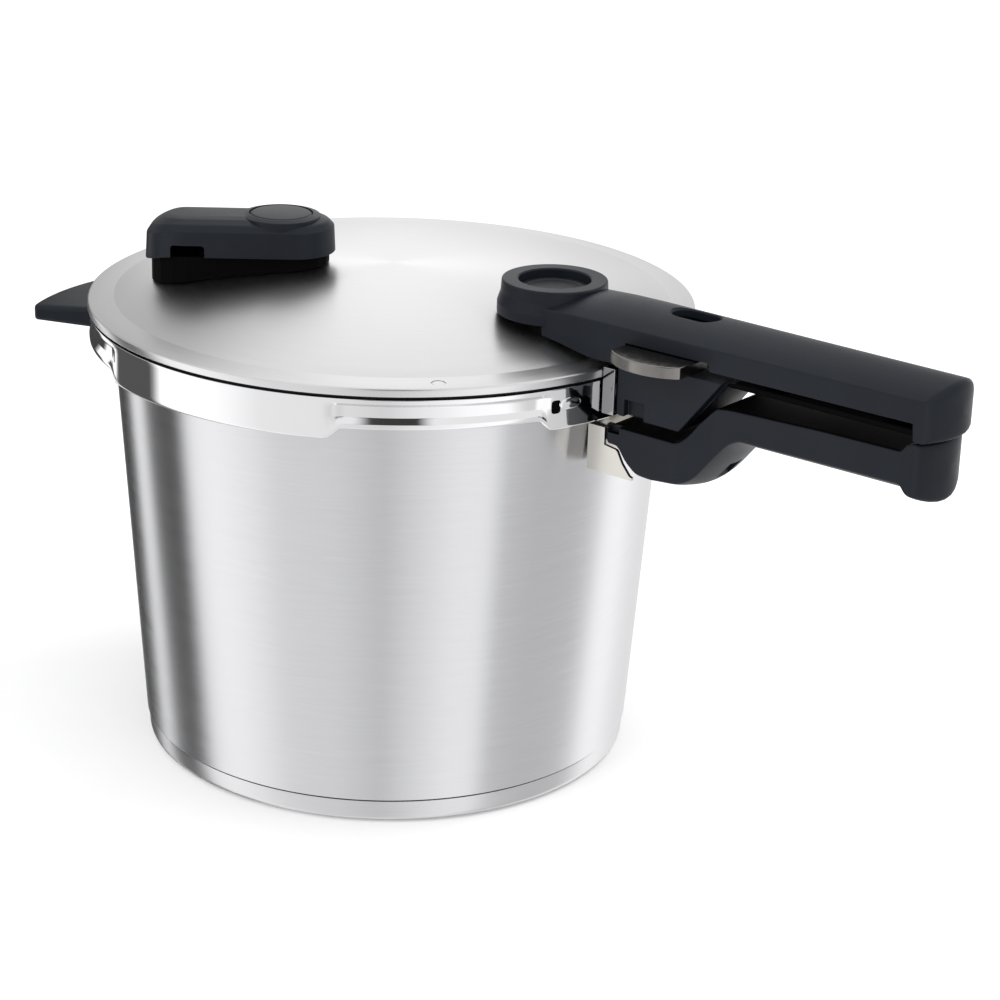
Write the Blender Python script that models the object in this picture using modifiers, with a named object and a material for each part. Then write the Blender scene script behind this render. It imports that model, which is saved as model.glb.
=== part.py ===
"""Stovetop pressure cooker: pot, bayonet lid, two long handles, valves and lock, as separate pieces.

Frame: metres, +Z up, origin at the centre of the base on the surface that it stands on,
+X along the long handles. The lid is shown closed and turned home, its handle over the pot's.
"""

import math

import bmesh
import bpy
from mathutils import Matrix, Vector

MM = 0.001
COLLECTION = "pressure_cooker"
CUTTERS = "cutters"

# Fits -------------------------------------------------------------------------------------------
GAP = 0.3 * MM               # between two pieces that touch or are clamped
SLIDE_GAP = 0.4 * MM         # round pieces that slide
TURN_GAP = 0.6 * MM          # between the lid's locking shelf and the pot's flange
MERGE = 0.01 * MM            # points closer than this are one point
CUTTER_TWIST = math.radians(3.1)   # keeps a round cutter's edges off those of the piece that it cuts

# Pot --------------------------------------------------------------------------------------------
SHEET = 1.2 * MM             # pot wall and lid sheet
BASE_RADIUS = 100.0 * MM
BASE_HEIGHT = 9.2 * MM       # capsule base, up to the seam under the wall
CAP_SHEET = 1.2 * MM
WALL_FOOT_RADIUS = 101.0 * MM
WALL_TOP_RADIUS = 112.5 * MM
RIM_HEIGHT = 182.4 * MM      # top of the pot's flange; all that the rim carries follows it
FLANGE_THICKNESS = 1.6 * MM
LOBE_RADIUS = 118.3 * MM     # turned-down flange lobes that the lid hooks under
NECK_RADIUS = 113.9 * MM     # flange between the lobes
FLOOR_ROUND = 4.0 * MM

# Lid --------------------------------------------------------------------------------------------
LID_TOP = RIM_HEIGHT + 17.6 * MM  # middle of the dome
DOME_DROP = 12.5 * MM
DOME_RADIUS = 113.0 * MM     # where the dome meets the flat shoulder
LID_RADIUS = 122.0 * MM
RIM_LIP = RIM_HEIGHT + 1.0 * MM  # lower edge of the brushed rim, top of the polished skirt
SKIRT_RADIUS = 121.5 * MM
SKIRT_BOTTOM = RIM_HEIGHT - 16.4 * MM
CURL_RADIUS = 119.6 * MM     # inner edge of the skirt's curled-in foot
HOOK_RADIUS = 115.0 * MM     # inner edge of the foot where it is bent in as a hook under a lobe
HOOK_BOTTOM = RIM_HEIGHT - 12.0 * MM
HOOK_COUNT = 4
HOOK_CENTRE = -40.0          # degrees, middle of the first hook
HOOK_HALF = 17.5             # degrees, fully bent in
HOOK_BLEND = 3.0             # degrees, from bent in to the plain foot
TURN_ANGLE = 41.0            # degrees that the lid turns to come free
CUT_MARGIN = 2.0             # degrees of play of a hook in its gap between two lobes
LID_STATIONS = 72
GASKET_INNER = 105.0 * MM
GASKET_OUTER = 117.4 * MM
GASKET_HEIGHT = 2.6 * MM

# Long handles -----------------------------------------------------------------------------------
HANDLE_END = 262.0 * MM
HANDLE_WALL = 2.2 * MM
HANDLE_HALF_ROOT = 19.0 * MM
HANDLE_HALF_END = 15.5 * MM
HANDLE_TOP = RIM_HEIGHT + 27.4 * MM
NECK_TOP = RIM_HEIGHT + 26.2 * MM  # top of the lid handle where it leaves the head
HANDLE_CREASE = RIM_HEIGHT + 21.6 * MM
HANDLE_SEAM = RIM_HEIGHT + 13.0 * MM  # lower edge of the lid handle's upper shell
COVER_BOTTOM = RIM_HEIGHT + 7.6 * MM  # lower face of the lid handle's under cover
END_BOTTOM = RIM_HEIGHT + 6.2 * MM
RIM_CLEAR = 1.2 * MM         # lid handle above the lid
BLOCK_START = 126.5 * MM     # the lid handle's block outside the rim
BLOCK_FOOT = 155.0 * MM
BLOCK_END = 173.0 * MM
BLOCK_BOTTOM = RIM_HEIGHT - 12.8 * MM
HEAD_X = 82.0 * MM
HEAD_TOP = RIM_HEIGHT + 27.6 * MM
HEAD_RADIUS = 20.4 * MM
HEAD_FOOT_RADIUS = 22.0 * MM
HEAD_FOOT = RIM_HEIGHT + 14.5 * MM
HEAD_WALL = 2.4 * MM
DISH_RADIUS = 14.0 * MM      # round well in the head that holds the indicator
WEB_TOP = RIM_HEIGHT + 17.8 * MM
WEB_THICKNESS = 2.4 * MM
WINDOW_X = 148.5 * MM
WINDOW_LENGTH = 20.0 * MM
WINDOW_WIDTH = 11.0 * MM
END_BULGE = 5.0 * MM         # the handles' end faces bulge out in plan
TUCK = 3.0 * MM              # how far an end face's last section is drawn in at top and bottom
SIDE_STEP = HANDLE_END - 10.0 * MM     # the handles grow to their full end blocks from here
REAR_SCREW_X = HANDLE_END - 24.0 * MM
SCREW_SUNK = 2.3 * MM        # a screw's head stands this far out of its bore
POT_HANDLE_START = 123.0 * MM
POT_HANDLE_TOP = RIM_HEIGHT + 2.0 * MM
POT_HANDLE_CREASE = RIM_HEIGHT - 10.0 * MM
POT_HANDLE_BOTTOM = RIM_HEIGHT - 15.0 * MM
POT_END_TOP = RIM_HEIGHT + 5.6 * MM
POT_END_BOTTOM = RIM_HEIGHT - 17.8 * MM
SHOULDER_START = 156.0 * MM  # the pot handle steps up here, clear of the lid handle's block
SHOULDER_END = 174.0 * MM
SHELF_TOP = RIM_HEIGHT - 16.8 * MM
KEEL_BOTTOM = RIM_HEIGHT - 35.6 * MM
KEEL_END = 161.0 * MM
KEEL_RISE = 181.0 * MM
POT_BLOCK_HALF = 19.0 * MM
POT_HANDLE_END = HANDLE_END - 3.0 * MM
GUARD_SHEET = 1.4 * MM       # welded sheet brackets on the pot
GUARD_TOP = RIM_HEIGHT - 18.4 * MM
GUARD_LOW = RIM_HEIGHT - 36.4 * MM
GUARD_WELD_HALF = 13.0 * MM  # half width of the guard's web on the wall
GUARD_CORNER = 115.0 * MM    # where its cheeks start
GUARD_TOE = 136.0 * MM       # how far its cheeks reach under the handle

# Lock -------------------------------------------------------------------------------------------
LOCK_TRAVEL = 5.0 * MM
BUTTON_START = 130.0 * MM
BUTTON_LENGTH = 31.5 * MM
BUTTON_TOP = RIM_HEIGHT + 15.7 * MM
BUTTON_THICKNESS = 4.6 * MM
BUTTON_REACH = 27.6 * MM     # from the handle's middle plane to the corners of the button
BUTTON_BOW = 5.6 * MM
BUTTON_INNER = -10.0 * MM    # Y of the button's inner edge
BOLT_HALF = 5.0 * MM
BOLT_MIDDLE = BUTTON_INNER + GAP + BOLT_HALF
SPRING_LENGTH = 16.0 * MM

# Side handle ------------------------------------------------------------------------------------
SIDE_ROOT = 116.4 * MM
SIDE_TIP = 179.3 * MM
SIDE_CORNER = 166.0 * MM
SIDE_HALF = 45.0 * MM
SIDE_ROOT_HALF = 37.0 * MM
SIDE_TIP_TOP = RIM_HEIGHT - 27.0 * MM
SIDE_ROOT_TOP = RIM_HEIGHT - 18.0 * MM
SIDE_TIP_BOTTOM = RIM_HEIGHT - 33.6 * MM
SIDE_ROOT_BOTTOM = RIM_HEIGHT - 28.8 * MM

# Steam release on the lid -----------------------------------------------------------------------
STEAM_X = -35.0 * MM
STEAM_Y = -28.5 * MM
STEAM_HEADING = 221.0        # degrees, from the release button outwards along the housing
STEAM_TOP = RIM_HEIGHT + 36.9 * MM
STEAM_CREASE = RIM_HEIGHT + 32.2 * MM
STEAM_SEAM = RIM_HEIGHT + 22.0 * MM
STEAM_NOSE = RIM_HEIGHT + 28.2 * MM
STEAM_HALF = 16.8 * MM
STEAM_BACK = -5.0 * MM       # centre of the round end at the button
STEAM_FRONT = 37.2 * MM      # centre of the round end at the nose
STEAM_WALL = 1.8 * MM
STEAM_BASE_INSET = 2.4 * MM
STEAM_FLOOR = RIM_HEIGHT + 18.8 * MM  # floor of the housing's base
VENT_START = 29.5 * MM
VENT_LENGTH = 13.5 * MM
VENT_HEIGHT = 4.8 * MM
PRESS_RADIUS = 12.4 * MM
PRESS_TRAVEL = 3.0 * MM
FLOAT_AT = 27.0 * MM         # float valve, along the housing from the release button
FLOAT_TRAVEL = 3.0 * MM
INDICATOR_TRAVEL = 4.0 * MM

# Through fittings -------------------------------------------------------------------------------
BUSH_RADIUS = 5.7 * MM
BUSH_BORE = 2.5 * MM
STEM_RADIUS = BUSH_BORE - 0.5 * MM
SEAL_THICKNESS = 1.4 * MM
COLLAR_THICKNESS = 1.7 * MM
COLLAR_RADIUS = BUSH_RADIUS + 2.9 * MM
NUT_RADIUS = BUSH_RADIUS + 2.5 * MM
NUT_THICKNESS = 2.2 * MM
WIRE_RADIUS = 0.5 * MM
SCREW_RADIUS = 2.0 * MM
SCREW_HEAD = 3.6 * MM

# Materials: base colour, metallic, roughness
STEEL = ((0.74, 0.74, 0.75), 1.0, 0.32)
MIRROR_STEEL = ((0.80, 0.80, 0.81), 1.0, 0.08)
ALUMINIUM = ((0.66, 0.67, 0.68), 1.0, 0.45)
PLASTIC = ((0.018, 0.020, 0.024), 0.0, 0.48)
GUNMETAL = ((0.20, 0.19, 0.18), 1.0, 0.22)
SILICONE = ((0.55, 0.56, 0.57), 0.0, 0.60)
GREEN = ((0.05, 0.42, 0.12), 0.0, 0.40)
FASTENER = ((0.55, 0.55, 0.56), 1.0, 0.38)


# Scene helpers ----------------------------------------------------------------------------------
def clear_scene():
    for item in list(bpy.data.objects):
        bpy.data.objects.remove(item, do_unlink=True)
    for name in (COLLECTION, CUTTERS):
        old = bpy.data.collections.get(name)
        if old:
            bpy.data.collections.remove(old)
        bpy.context.scene.collection.children.link(bpy.data.collections.new(name))


def finish_material(name, look):
    colour, metallic, roughness = look
    material = bpy.data.materials.new(name)
    material.use_nodes = True
    shader = material.node_tree.nodes["Principled BSDF"]
    shader.inputs["Base Color"].default_value = (*colour, 1.0)
    shader.inputs["Metallic"].default_value = metallic
    shader.inputs["Roughness"].default_value = roughness
    material.diffuse_color = (*colour, 1.0)
    return material


def add_object(name, mesh, look=None):
    """A part with its own material, or a cutter where no look is given."""
    item = bpy.data.objects.new(name, mesh)
    if look is None:
        item.hide_render = True
        item.display_type = "WIRE"
        bpy.data.collections[CUTTERS].objects.link(item)
        return item
    mesh.materials.clear()
    mesh.materials.append(finish_material(name, look))
    bpy.data.collections[COLLECTION].objects.link(item)
    return item


def soften(item, angle=35.0):
    item.data.shade_smooth()
    item.data.set_sharp_from_angle(angle=math.radians(angle))


def turned(name, profile, look=None, steps=32, at=(0.0, 0.0)):
    """Solid of revolution about a vertical axis: (radius, height) points, outer side downwards."""
    closed = profile[0][0] > MERGE
    mesh = bpy.data.meshes.new(name)
    edges = [(i, i + 1) for i in range(len(profile) - 1)]
    if closed:
        edges.append((len(profile) - 1, 0))
    mesh.from_pydata([(radius, 0.0, height) for radius, height in profile], edges, [])
    item = add_object(name, mesh, look)
    item.location = (at[0], at[1], 0.0)
    if look is None:
        item.rotation_euler = (0.0, 0.0, CUTTER_TWIST)
    screw = item.modifiers.new("Turn", "SCREW")
    screw.angle = math.tau
    screw.steps = steps
    screw.render_steps = steps
    screw.use_merge_vertices = True
    screw.merge_threshold = MERGE
    screw.use_smooth_shade = True
    weld = item.modifiers.new("Join", "WELD")
    weld.merge_threshold = MERGE
    return item


def tube_profile(inner, outer, low, high):
    return [(outer, high), (outer, low), (inner, low), (inner, high)]


def disc_profile(radius, low, high):
    return [(0.0, high), (radius, high), (radius, low), (0.0, low)]


def as_mesh(item):
    """The evaluated shape of a curve or of a part with modifiers, as a plain welded mesh object."""
    graph = bpy.context.evaluated_depsgraph_get()
    mesh = bpy.data.meshes.new_from_object(item.evaluated_get(graph))
    work = bmesh.new()
    work.from_mesh(mesh)
    bmesh.ops.remove_doubles(work, verts=work.verts, dist=MERGE)
    bmesh.ops.recalc_face_normals(work, faces=work.faces)
    work.to_mesh(mesh)
    work.free()
    return mesh


def plate(name, outline, low, high, look=None, upright=False):
    """Flat outline given thickness: along Z from (x, y) points, or along Y from (x, z) points."""
    curve = bpy.data.curves.new(name, "CURVE")
    curve.dimensions = "2D"
    curve.fill_mode = "BOTH"
    curve.extrude = (high - low) / 2.0
    spline = curve.splines.new("POLY")
    spline.points.add(len(outline) - 1)
    for point, (across, along) in zip(spline.points, outline):
        point.co = (across, along, 0.0, 1.0)
    spline.use_cyclic_u = True
    drawn = bpy.data.objects.new(name + "_outline", curve)
    bpy.data.collections[CUTTERS].objects.link(drawn)
    middle = (low + high) / 2.0
    if upright:
        drawn.matrix_world = Matrix.Translation((0.0, middle, 0.0)) @ Matrix.Rotation(math.pi / 2.0, 4, "X")
    else:
        drawn.matrix_world = Matrix.Translation((0.0, 0.0, middle))
    bpy.context.view_layer.update()
    mesh = as_mesh(drawn)
    mesh.transform(drawn.matrix_world)
    bpy.data.objects.remove(drawn, do_unlink=True)
    bpy.data.curves.remove(curve)
    return add_object(name, mesh, look)


def loft(name, rings, look=None):
    """Skin over rings of equally many points; the end rings become caps."""
    work = bmesh.new()
    rows = [[work.verts.new(point) for point in ring] for ring in rings]
    count = len(rows[0])
    for first, second in zip(rows, rows[1:]):
        for i in range(count):
            j = (i + 1) % count
            work.faces.new((first[i], first[j], second[j], second[i]))
    work.faces.new(rows[0])
    work.faces.new(rows[-1])
    bmesh.ops.remove_doubles(work, verts=work.verts, dist=MERGE)
    bmesh.ops.recalc_face_normals(work, faces=work.faces)
    mesh = bpy.data.meshes.new(name)
    work.to_mesh(mesh)
    work.free()
    return add_object(name, mesh, look)


def carve(item, cutter, operation="DIFFERENCE"):
    cut = item.modifiers.new(cutter.name, "BOOLEAN")
    cut.operation = operation
    cut.object = cutter
    cut.solver = "EXACT"
    return item


def drill(item, name, radius, low, high, at, steps=24):
    return carve(item, turned(name, disc_profile(radius, low, high), steps=steps, at=at))


def coil(name, radius, low, high, turns, look, at=(0.0, 0.0), along_x=False):
    """Compression spring about Z through at, or about X from low to high through at=(y, z)."""
    per_turn = 10
    curve = bpy.data.curves.new(name, "CURVE")
    curve.dimensions = "3D"
    curve.bevel_depth = WIRE_RADIUS
    curve.bevel_resolution = 2
    curve.use_fill_caps = True
    spline = curve.splines.new("POLY")
    count = per_turn * turns + 1
    spline.points.add(count - 1)
    start = low + WIRE_RADIUS
    rise = (high - low) - 2.0 * WIRE_RADIUS
    for i, point in enumerate(spline.points):
        angle = math.tau * i / per_turn
        across = radius * math.cos(angle)
        aside = radius * math.sin(angle)
        along = start + rise * i / (count - 1)
        if along_x:
            point.co = (along, at[0] + across, at[1] + aside, 1.0)
        else:
            point.co = (at[0] + across, at[1] + aside, along, 1.0)
    drawn = bpy.data.objects.new(name + "_wire", curve)
    bpy.data.collections[CUTTERS].objects.link(drawn)
    bpy.context.view_layer.update()
    mesh = as_mesh(drawn)
    bpy.data.objects.remove(drawn, do_unlink=True)
    bpy.data.curves.remove(curve)
    item = add_object(name, mesh, look)
    soften(item)
    return item


def hexagon(name, radius, bore, low, high, look, at):
    nut = turned(name, disc_profile(radius, low, high), look, steps=6, at=at)
    return drill(nut, name + "_bore", bore, low - MM, high + MM, at)


def screw(name, at, low, high):
    """Vertical machine screw with its head at the lower end."""
    head = low + 0.55 * SCREW_HEAD
    profile = [(0.0, high), (SCREW_RADIUS, high), (SCREW_RADIUS, head), (SCREW_HEAD, head), (SCREW_HEAD, low),
               (0.0, low)]
    return turned(name, profile, FASTENER, steps=16, at=at)


def arc(centre, radius, start, end, count):
    """Points of an arc, angles in degrees, both ends included."""
    points = []
    for i in range(count):
        angle = math.radians(start + (end - start) * i / (count - 1))
        points.append((centre[0] + radius * math.cos(angle), centre[1] + radius * math.sin(angle)))
    return points


# Shapes that several pieces share ---------------------------------------------------------------
WALL_FOOT = BASE_HEIGHT + 2.0 * GAP
FLANGE_BOTTOM = RIM_HEIGHT - FLANGE_THICKNESS
HOOK_TOP = HOOK_BOTTOM + SHEET
LOBE_BOTTOM = HOOK_TOP + TURN_GAP


def wall_radius(height):
    """Outer radius of the pot's tapered wall."""
    share = (height - WALL_FOOT) / (FLANGE_BOTTOM - WALL_FOOT)
    return WALL_FOOT_RADIUS + (WALL_TOP_RADIUS - WALL_FOOT_RADIUS) * share


def dome_height(radius):
    return LID_TOP - DOME_DROP * (radius / DOME_RADIUS) ** 2


def hook_share(angle):
    """1 where the skirt is pressed in, 0 where it is full, smooth between; angle in degrees."""
    pitch = 360.0 / HOOK_COUNT
    away = abs((angle - HOOK_CENTRE + pitch / 2.0) % pitch - pitch / 2.0)
    share = min(max((HOOK_HALF + HOOK_BLEND - away) / HOOK_BLEND, 0.0), 1.0)
    return share * share * (3.0 - 2.0 * share)


def handle_half(x):
    share = (x - HEAD_X) / (HANDLE_END - HEAD_X)
    return HANDLE_HALF_ROOT + (HANDLE_HALF_END - HANDLE_HALF_ROOT) * share


def crown_ring(x, half, low, crease, top):
    """Handle section at x: flat sides and foot, crowned top."""
    ring = [(x, -half, low), (x, -half, crease)]
    for share in (-0.8, -0.45, 0.0, 0.45, 0.8):
        ring.append((x, half * share, crease + (top - crease) * (1.0 - share * share)))
    ring += [(x, half, crease), (x, half, low)]
    return ring


def keel_ring(x, half, low, crease, top):
    """Handle section at x: flat top, crowned underside."""
    ring = [(x, -half, top), (x, -half, crease)]
    for share in (-0.8, -0.45, 0.0, 0.45, 0.8):
        ring.append((x, half * share, crease + (low - crease) * (1.0 - share * share)))
    ring += [(x, half, crease), (x, half, top)]
    return ring


# Pot --------------------------------------------------------------------------------------------
def make_pot():
    inner_floor = WALL_FOOT + SHEET
    inner_foot = wall_radius(inner_floor + FLOOR_ROUND) - SHEET
    inner_top = WALL_TOP_RADIUS - SHEET
    profile = [
        (0.0, inner_floor),
        (WALL_FOOT_RADIUS - SHEET - FLOOR_ROUND, inner_floor),
        (inner_foot - 0.3 * FLOOR_ROUND, inner_floor + 0.3 * FLOOR_ROUND),
        (inner_foot, inner_floor + FLOOR_ROUND),
        (inner_top, FLANGE_BOTTOM),
        (inner_top + 0.4 * MM, RIM_HEIGHT),
        (LOBE_RADIUS, RIM_HEIGHT),
        (LOBE_RADIUS, LOBE_BOTTOM),
        (LOBE_RADIUS - SHEET, LOBE_BOTTOM),
        (LOBE_RADIUS - SHEET, FLANGE_BOTTOM),
        (WALL_TOP_RADIUS, FLANGE_BOTTOM),
        (wall_radius(WALL_FOOT + 2.0 * MM), WALL_FOOT + 2.0 * MM),
        (WALL_FOOT_RADIUS - 0.6 * MM, WALL_FOOT + 0.5 * MM),
        (WALL_FOOT_RADIUS - 2.2 * MM, WALL_FOOT),
        (0.0, WALL_FOOT),
    ]
    pot = turned("pot_body", profile, STEEL, steps=72)
    cut_half = HOOK_HALF + HOOK_BLEND + CUT_MARGIN
    for i in range(HOOK_COUNT):
        middle = HOOK_CENTRE + TURN_ANGLE + i * 360.0 / HOOK_COUNT
        reach = LOBE_RADIUS + 6.0 * MM
        outline = arc((0.0, 0.0), NECK_RADIUS, middle - cut_half, middle + cut_half, 9)
        outline += arc((0.0, 0.0), reach, middle + cut_half, middle - cut_half, 5)
        gap = plate("flange_gap_%d" % (i + 1), outline, LOBE_BOTTOM - 2.0 * MM, RIM_HEIGHT + 2.0 * MM)
        carve(pot, gap)
    core_radius = BASE_RADIUS - CAP_SHEET - GAP - 1.4 * MM
    core_low = CAP_SHEET + GAP
    core_top = BASE_HEIGHT + GAP
    chamfer = 1.2 * MM
    core = [(0.0, core_top), (core_radius, core_top), (core_radius, core_low + chamfer),
            (core_radius - chamfer, core_low), (0.0, core_low)]
    turned("base_core", core, ALUMINIUM, steps=64)
    cap = [
        (0.0, CAP_SHEET),
        (core_radius + GAP - 1.0 * MM, CAP_SHEET),
        (core_radius + GAP, CAP_SHEET + 1.0 * MM),
        (core_radius + GAP, BASE_HEIGHT),
        (BASE_RADIUS, BASE_HEIGHT),
        (BASE_RADIUS - 0.2 * MM, 3.4 * MM),
        (BASE_RADIUS - 1.2 * MM, 1.1 * MM),
        (BASE_RADIUS - 3.6 * MM, 0.0),
        (0.0, 0.0),
    ]
    turned("base_cap", cap, STEEL, steps=64)


def guard_plan():
    """The flame guard in plan: a web welded to the wall, and two cheeks that run out along X."""
    radius = wall_radius(GUARD_TOP) + GAP
    half = POT_BLOCK_HALF
    inner_half = half - GUARD_SHEET
    reach = POT_HANDLE_START - GAP
    edge = math.degrees(math.asin(GUARD_WELD_HALF / radius))
    outline = arc((0.0, 0.0), radius, -edge, edge, 7)
    turn = GUARD_CORNER + 0.6 * MM
    outline += [(GUARD_CORNER, half), (reach, half), (reach, inner_half), (turn, inner_half)]
    outline += arc((0.0, 0.0), radius + GUARD_SHEET, edge, -edge, 7)
    outline += [(turn, -inner_half), (reach, -inner_half), (reach, -half), (GUARD_CORNER, -half)]
    return outline


def end_face(x, half):
    """Half width of a handle's bulging end, x past the start of the bulge."""
    radius = (half * half + END_BULGE * END_BULGE) / (2.0 * END_BULGE)
    return math.sqrt(radius * radius - (radius - END_BULGE + x) ** 2)


def make_pot_handle():
    bracket = plate("pot_handle_bracket", guard_plan(), GUARD_LOW, GUARD_TOP, STEEL)
    toe = [(GUARD_CORNER + 2.0 * MM, GUARD_LOW), (GUARD_TOE, GUARD_LOW), (GUARD_TOE, GUARD_LOW + 1.0 * MM),
           (GUARD_TOE - 6.0 * MM, GUARD_LOW + 3.4 * MM), (POT_HANDLE_START - GAP, GUARD_LOW + 9.6 * MM),
           (GUARD_CORNER + 2.0 * MM, GUARD_LOW + 9.6 * MM)]
    for side in (-1.0, 1.0):
        edges = sorted((side * (POT_BLOCK_HALF - GUARD_SHEET), side * POT_BLOCK_HALF))
        carve(bracket, plate("guard_toe_%d" % (side > 0.0), toe, edges[0], edges[1], upright=True), "UNION")

    start = POT_HANDLE_START
    root = POT_BLOCK_HALF
    bulge = POT_HANDLE_END - END_BULGE
    block_crease = POT_END_BOTTOM + 4.0 * MM
    stations = [
        (start, root, KEEL_BOTTOM + 10.0 * MM, KEEL_BOTTOM + 11.0 * MM, SHELF_TOP - 1.0 * MM),
        (start + 8.0 * MM, root, KEEL_BOTTOM + 3.0 * MM, KEEL_BOTTOM + 5.0 * MM, SHELF_TOP),
        (start + 20.0 * MM, root, KEEL_BOTTOM - 1.0 * MM, KEEL_BOTTOM + 1.5 * MM, SHELF_TOP),
        (SHOULDER_START, root, KEEL_BOTTOM - 1.0 * MM, KEEL_BOTTOM + 2.0 * MM, SHELF_TOP),
        (KEEL_END, root, KEEL_BOTTOM, KEEL_BOTTOM + 4.0 * MM, SHELF_TOP + 4.6 * MM),
        (SHOULDER_END, handle_half(SHOULDER_END), POT_HANDLE_BOTTOM - 6.0 * MM, POT_HANDLE_CREASE - 4.0 * MM,
         POT_HANDLE_TOP - 1.6 * MM),
        (KEEL_RISE, handle_half(KEEL_RISE), POT_HANDLE_BOTTOM, POT_HANDLE_CREASE, POT_HANDLE_TOP - 1.2 * MM),
        (SIDE_STEP - 3.0 * MM, HANDLE_HALF_END, POT_HANDLE_BOTTOM, POT_HANDLE_CREASE, POT_HANDLE_TOP),
        (bulge, HANDLE_HALF_END, POT_END_BOTTOM, block_crease, POT_END_TOP),
        (bulge + 0.6 * END_BULGE, end_face(0.6 * END_BULGE, HANDLE_HALF_END), POT_END_BOTTOM + 0.3 * TUCK,
         block_crease, POT_END_TOP - 0.3 * TUCK),
        (bulge + 0.95 * END_BULGE, end_face(0.95 * END_BULGE, HANDLE_HALF_END), POT_END_BOTTOM + TUCK,
         block_crease + TUCK, POT_END_TOP - TUCK),
    ]
    rings = [keel_ring(*station) for station in stations]
    handle = loft("pot_handle", rings, PLASTIC)
    soften(handle, 30.0)
    screw_z = (GUARD_LOW + GUARD_TOP) / 2.0
    shank_start = wall_radius(GUARD_TOP) + GUARD_SHEET + 2.0 * GAP
    shank_end = start + 16.0 * MM
    bore_half = SCREW_RADIUS + GAP
    bore = [(start - 7.0 * MM, screw_z - bore_half), (shank_end + 1.0 * MM, screw_z - bore_half),
            (shank_end + 1.0 * MM, screw_z + bore_half), (start - 7.0 * MM, screw_z + bore_half)]
    carve(handle, plate("pot_screw_bore", bore, -bore_half, bore_half, upright=True))
    head_end = shank_start + 2.0 * MM
    shank = [(0.0, shank_end), (SCREW_RADIUS, shank_end), (SCREW_RADIUS, head_end), (SCREW_HEAD, head_end),
             (SCREW_HEAD, shank_start), (0.0, shank_start)]
    bolt = turned("pot_handle_screw", shank, FASTENER, steps=16)
    bolt.rotation_euler = (0.0, math.pi / 2.0, 0.0)
    bolt.location = (0.0, 0.0, screw_z)


def side_top(x):
    share = (x - SIDE_ROOT) / (SIDE_TIP - SIDE_ROOT)
    return SIDE_ROOT_TOP + (SIDE_TIP_TOP - SIDE_ROOT_TOP) * share


def side_bottom(x):
    share = (x - SIDE_ROOT) / (SIDE_TIP - SIDE_ROOT)
    return SIDE_ROOT_BOTTOM + (SIDE_TIP_BOTTOM - SIDE_ROOT_BOTTOM) * share


def make_side_handle():
    sheet = GUARD_SHEET
    top = SIDE_ROOT_TOP - 2.4 * MM
    low = SIDE_ROOT_BOTTOM + 0.4 * MM
    half = 30.0 * MM
    radius = wall_radius(top) + GAP
    edge = math.degrees(math.asin(half / radius))
    outline = arc((0.0, 0.0), radius, 180.0 - edge, 180.0 + edge, 9)
    outline += arc((0.0, 0.0), radius + sheet, 180.0 + edge, 180.0 - edge, 9)
    plate("side_handle_bracket", outline, low, top, STEEL)

    count = 9
    rings = []
    for row in range(count):
        share = -1.0 + 2.0 * row / (count - 1)
        y_tip = SIDE_HALF * share
        y_root = SIDE_ROOT_HALF * share
        root = math.sqrt((radius + sheet + GAP) ** 2 - y_root ** 2)
        tip = SIDE_CORNER + (SIDE_TIP - SIDE_CORNER) * (1.0 - share * share)
        middle = (root + tip) / 2.0
        ring = []
        for x, y in ((root, y_root), (middle, (y_root + y_tip) / 2.0), (tip, y_tip)):
            ring.append((-x, y, side_top(x) - 0.8 * MM * share * share))
        for x, y in ((tip, y_tip), (middle, (y_root + y_tip) / 2.0), (root, y_root)):
            ring.append((-x, y, side_bottom(x)))
        rings.append(ring)
    handle = loft("side_handle", rings, PLASTIC)
    soften(handle, 30.0)
    screw_z = (side_top(SIDE_ROOT) + side_bottom(SIDE_ROOT)) / 2.0
    start = radius + sheet + 2.0 * GAP
    for side, y in (("left", 18.0 * MM), ("right", -18.0 * MM)):
        heading = math.atan2(y, radius)
        face = Vector((-math.cos(heading), math.sin(heading), 0.0))
        bore = turned("side_bore_" + side, disc_profile(SCREW_RADIUS + GAP, -2.0 * MM, 16.0 * MM), steps=16)
        shank = disc_profile(SCREW_RADIUS, 0.0, 15.0 * MM)
        pin = turned("side_handle_screw_" + side, shank, FASTENER, steps=16)
        for item in (bore, pin):
            item.rotation_euler = face.to_track_quat("Z", "Y").to_euler()
            item.location = face * start + Vector((0.0, 0.0, screw_z))
        carve(handle, bore)


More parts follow.
